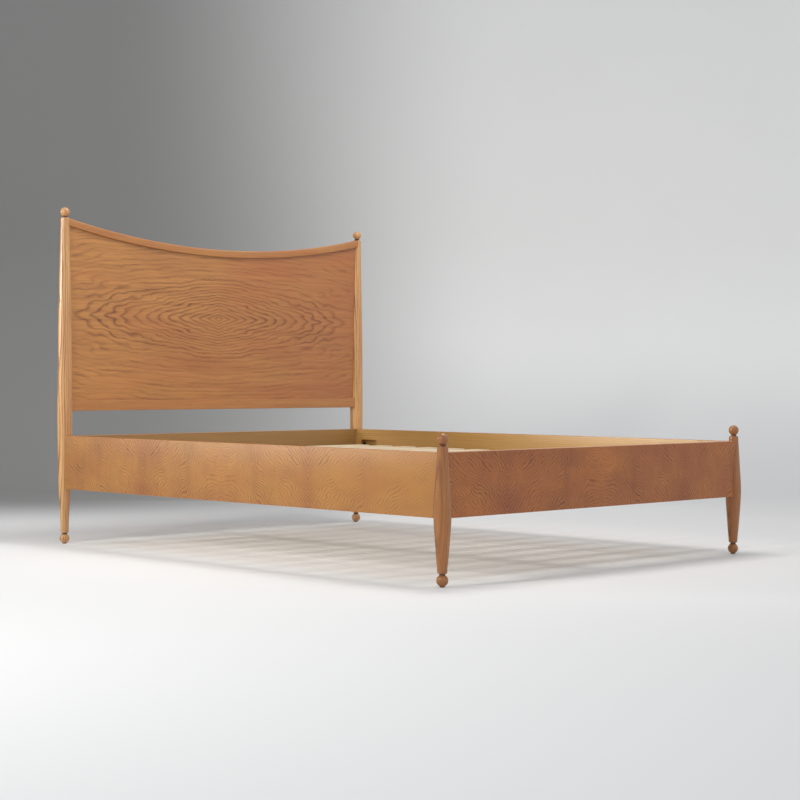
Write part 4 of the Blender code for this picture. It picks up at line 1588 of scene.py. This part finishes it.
    def room(self) -> None:
        """Fill the room with soft light, brighter from the window side."""
        world = bpy.data.worlds.new("studio")
        world.use_nodes = True
        tree = world.node_tree
        way = add_node(tree, "TexCoord")["Generated"]
        towards = add_node(tree, "VectorMath", {0: way, 1: Vector(self.window_side).normalized()},
                           operation="DOT_PRODUCT")["Value"]
        level = add_node(tree, "MapRange", {0: towards, 1: -1.0, 2: 1.0, 3: self.fill[0], 4: self.fill[1]})[0]
        background = tree.nodes["Background"]
        background.inputs["Color"].default_value = linear(self.sky)
        tree.links.new(level, background.inputs["Strength"])
        bpy.context.scene.world = world

    def light(self) -> None:
        """Hang the key, the rim and the top light, and fill the room."""
        self.hang("key", self.key_place, self.key_aim, self.key_size, self.key_watts)
        self.hang("rim", self.rim_place, self.rim_aim, self.rim_size, self.rim_watts, self.rim_spread)
        self.hang("top", self.top_place, (0, 0, -1), self.top_size, self.top_watts)
        self.room()
        bpy.context.scene.view_settings.view_transform = "Standard"

    def build(self) -> None:
        """Set up everything around the bed."""
        self.camera()
        self.floor()
        self.light()


def main() -> None:
    """Build the bed's looks and the studio."""
    logging.basicConfig(level=logging.INFO, format="%(name)s %(message)s")
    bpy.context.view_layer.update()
    corners = find_corners()
    post = corners[-1]

    zinc = CoatedSteel("zinc_plated_steel", metallic=1.0, relief_mm=0.02).build()
    # One ash: painted lighter on the head posts as painted light, and darker on the foot posts as painted
    # shade.
    pale = TurnedAsh("turned_ash_painted_lit", post_x=post.x, post_y=post.y, light="#DFAC6C")
    brown = replace(pale, name="turned_ash_painted_shaded", light="#A96F32", coat=0.3)
    # The necks are painted dark as shade, so they read as dark rings beside the balls.
    neck_shade_ash = replace(pale, name="turned_ash_in_the_recess", light="#6E3F1C", dark="#3A1C0A", red="#5A2E14",
                     coat=0.0)
    TurnedWork(corners, head_lit_finish=pale.build(), foot_shaded_finish=brown.build(), neck_shade_finish=neck_shade_ash.build(),
               glide_finish=MouldedNylon("moulded_nylon", relief_mm=0.03).build()).build()
    lipping_x = StraightAsh("ash_along_the_width", along=0).build()
    Headboard(corners, panel_finish=BookMatchedAsh("book_matched_ash_veneer").build(),
              back_finish=StraightAsh("plain_ash_veneer_back", along=0, ring_mm=9.0).build(),
              rail_finish=lipping_x).build()
    # The foot rail's veneer is drawn darker and redder than the side rails', partly as painted shade on a
    # face turned from the key lamp.
    Rails(corners, foot_shaded_finish=SwirledAsh("swirled_ash_veneer_across", along_x=True, seam=-0.02,
                                          leaf_length=0.495, light="#B46A20", dark="#4A1E04",
                                          red="#8C3F17", coat=0.15).build(),
          side_finish=SwirledAsh("swirled_ash_veneer_along", light="#B37C36", dark="#50280C",
                                 red="#965424", coat=0.15, fading=0.85).build(),
          inner_finish=StraightAsh("pale_ash_backing_veneer", light="#BE9654", dark="#966C34",
                                   red="#A37B47", along=1, ring_mm=8.0).build(),
          # The cross rails' inner faces are browner, and darker as painted shade.
          shade_finish=StraightAsh("brown_ash_backing_veneer", light="#9C7641", dark="#765129",
                                   red="#8E6533", along=0, ring_mm=8.0).build(),
          edge_x_finish=lipping_x,
          edge_y_finish=StraightAsh("ash_along_the_length", along=1).build()).build()
    timber = SawnTimber("planed_pine_along", light="#D3B182", dark="#AC8350", along=1).build()
    Supports(corners, timber_finish=timber, zinc_finish=zinc).build()
    SlatDeck(corners, slat_finish=SawnTimber("planed_poplar_slats", along=0).build(),
             strap_finish=WovenWebbing("woven_webbing", relief_mm=0.25).build()).build()
    Hardware(corners, zinc_finish=zinc,
             bolt_finish=CoatedSteel("black_oxide_steel", metallic=1.0, light="#2A2A2C", dark="#161617",
                                     polish=0.42, relief_mm=0.02).build()).build()
    Studio().build()


if __name__ == "__main__":
    main()
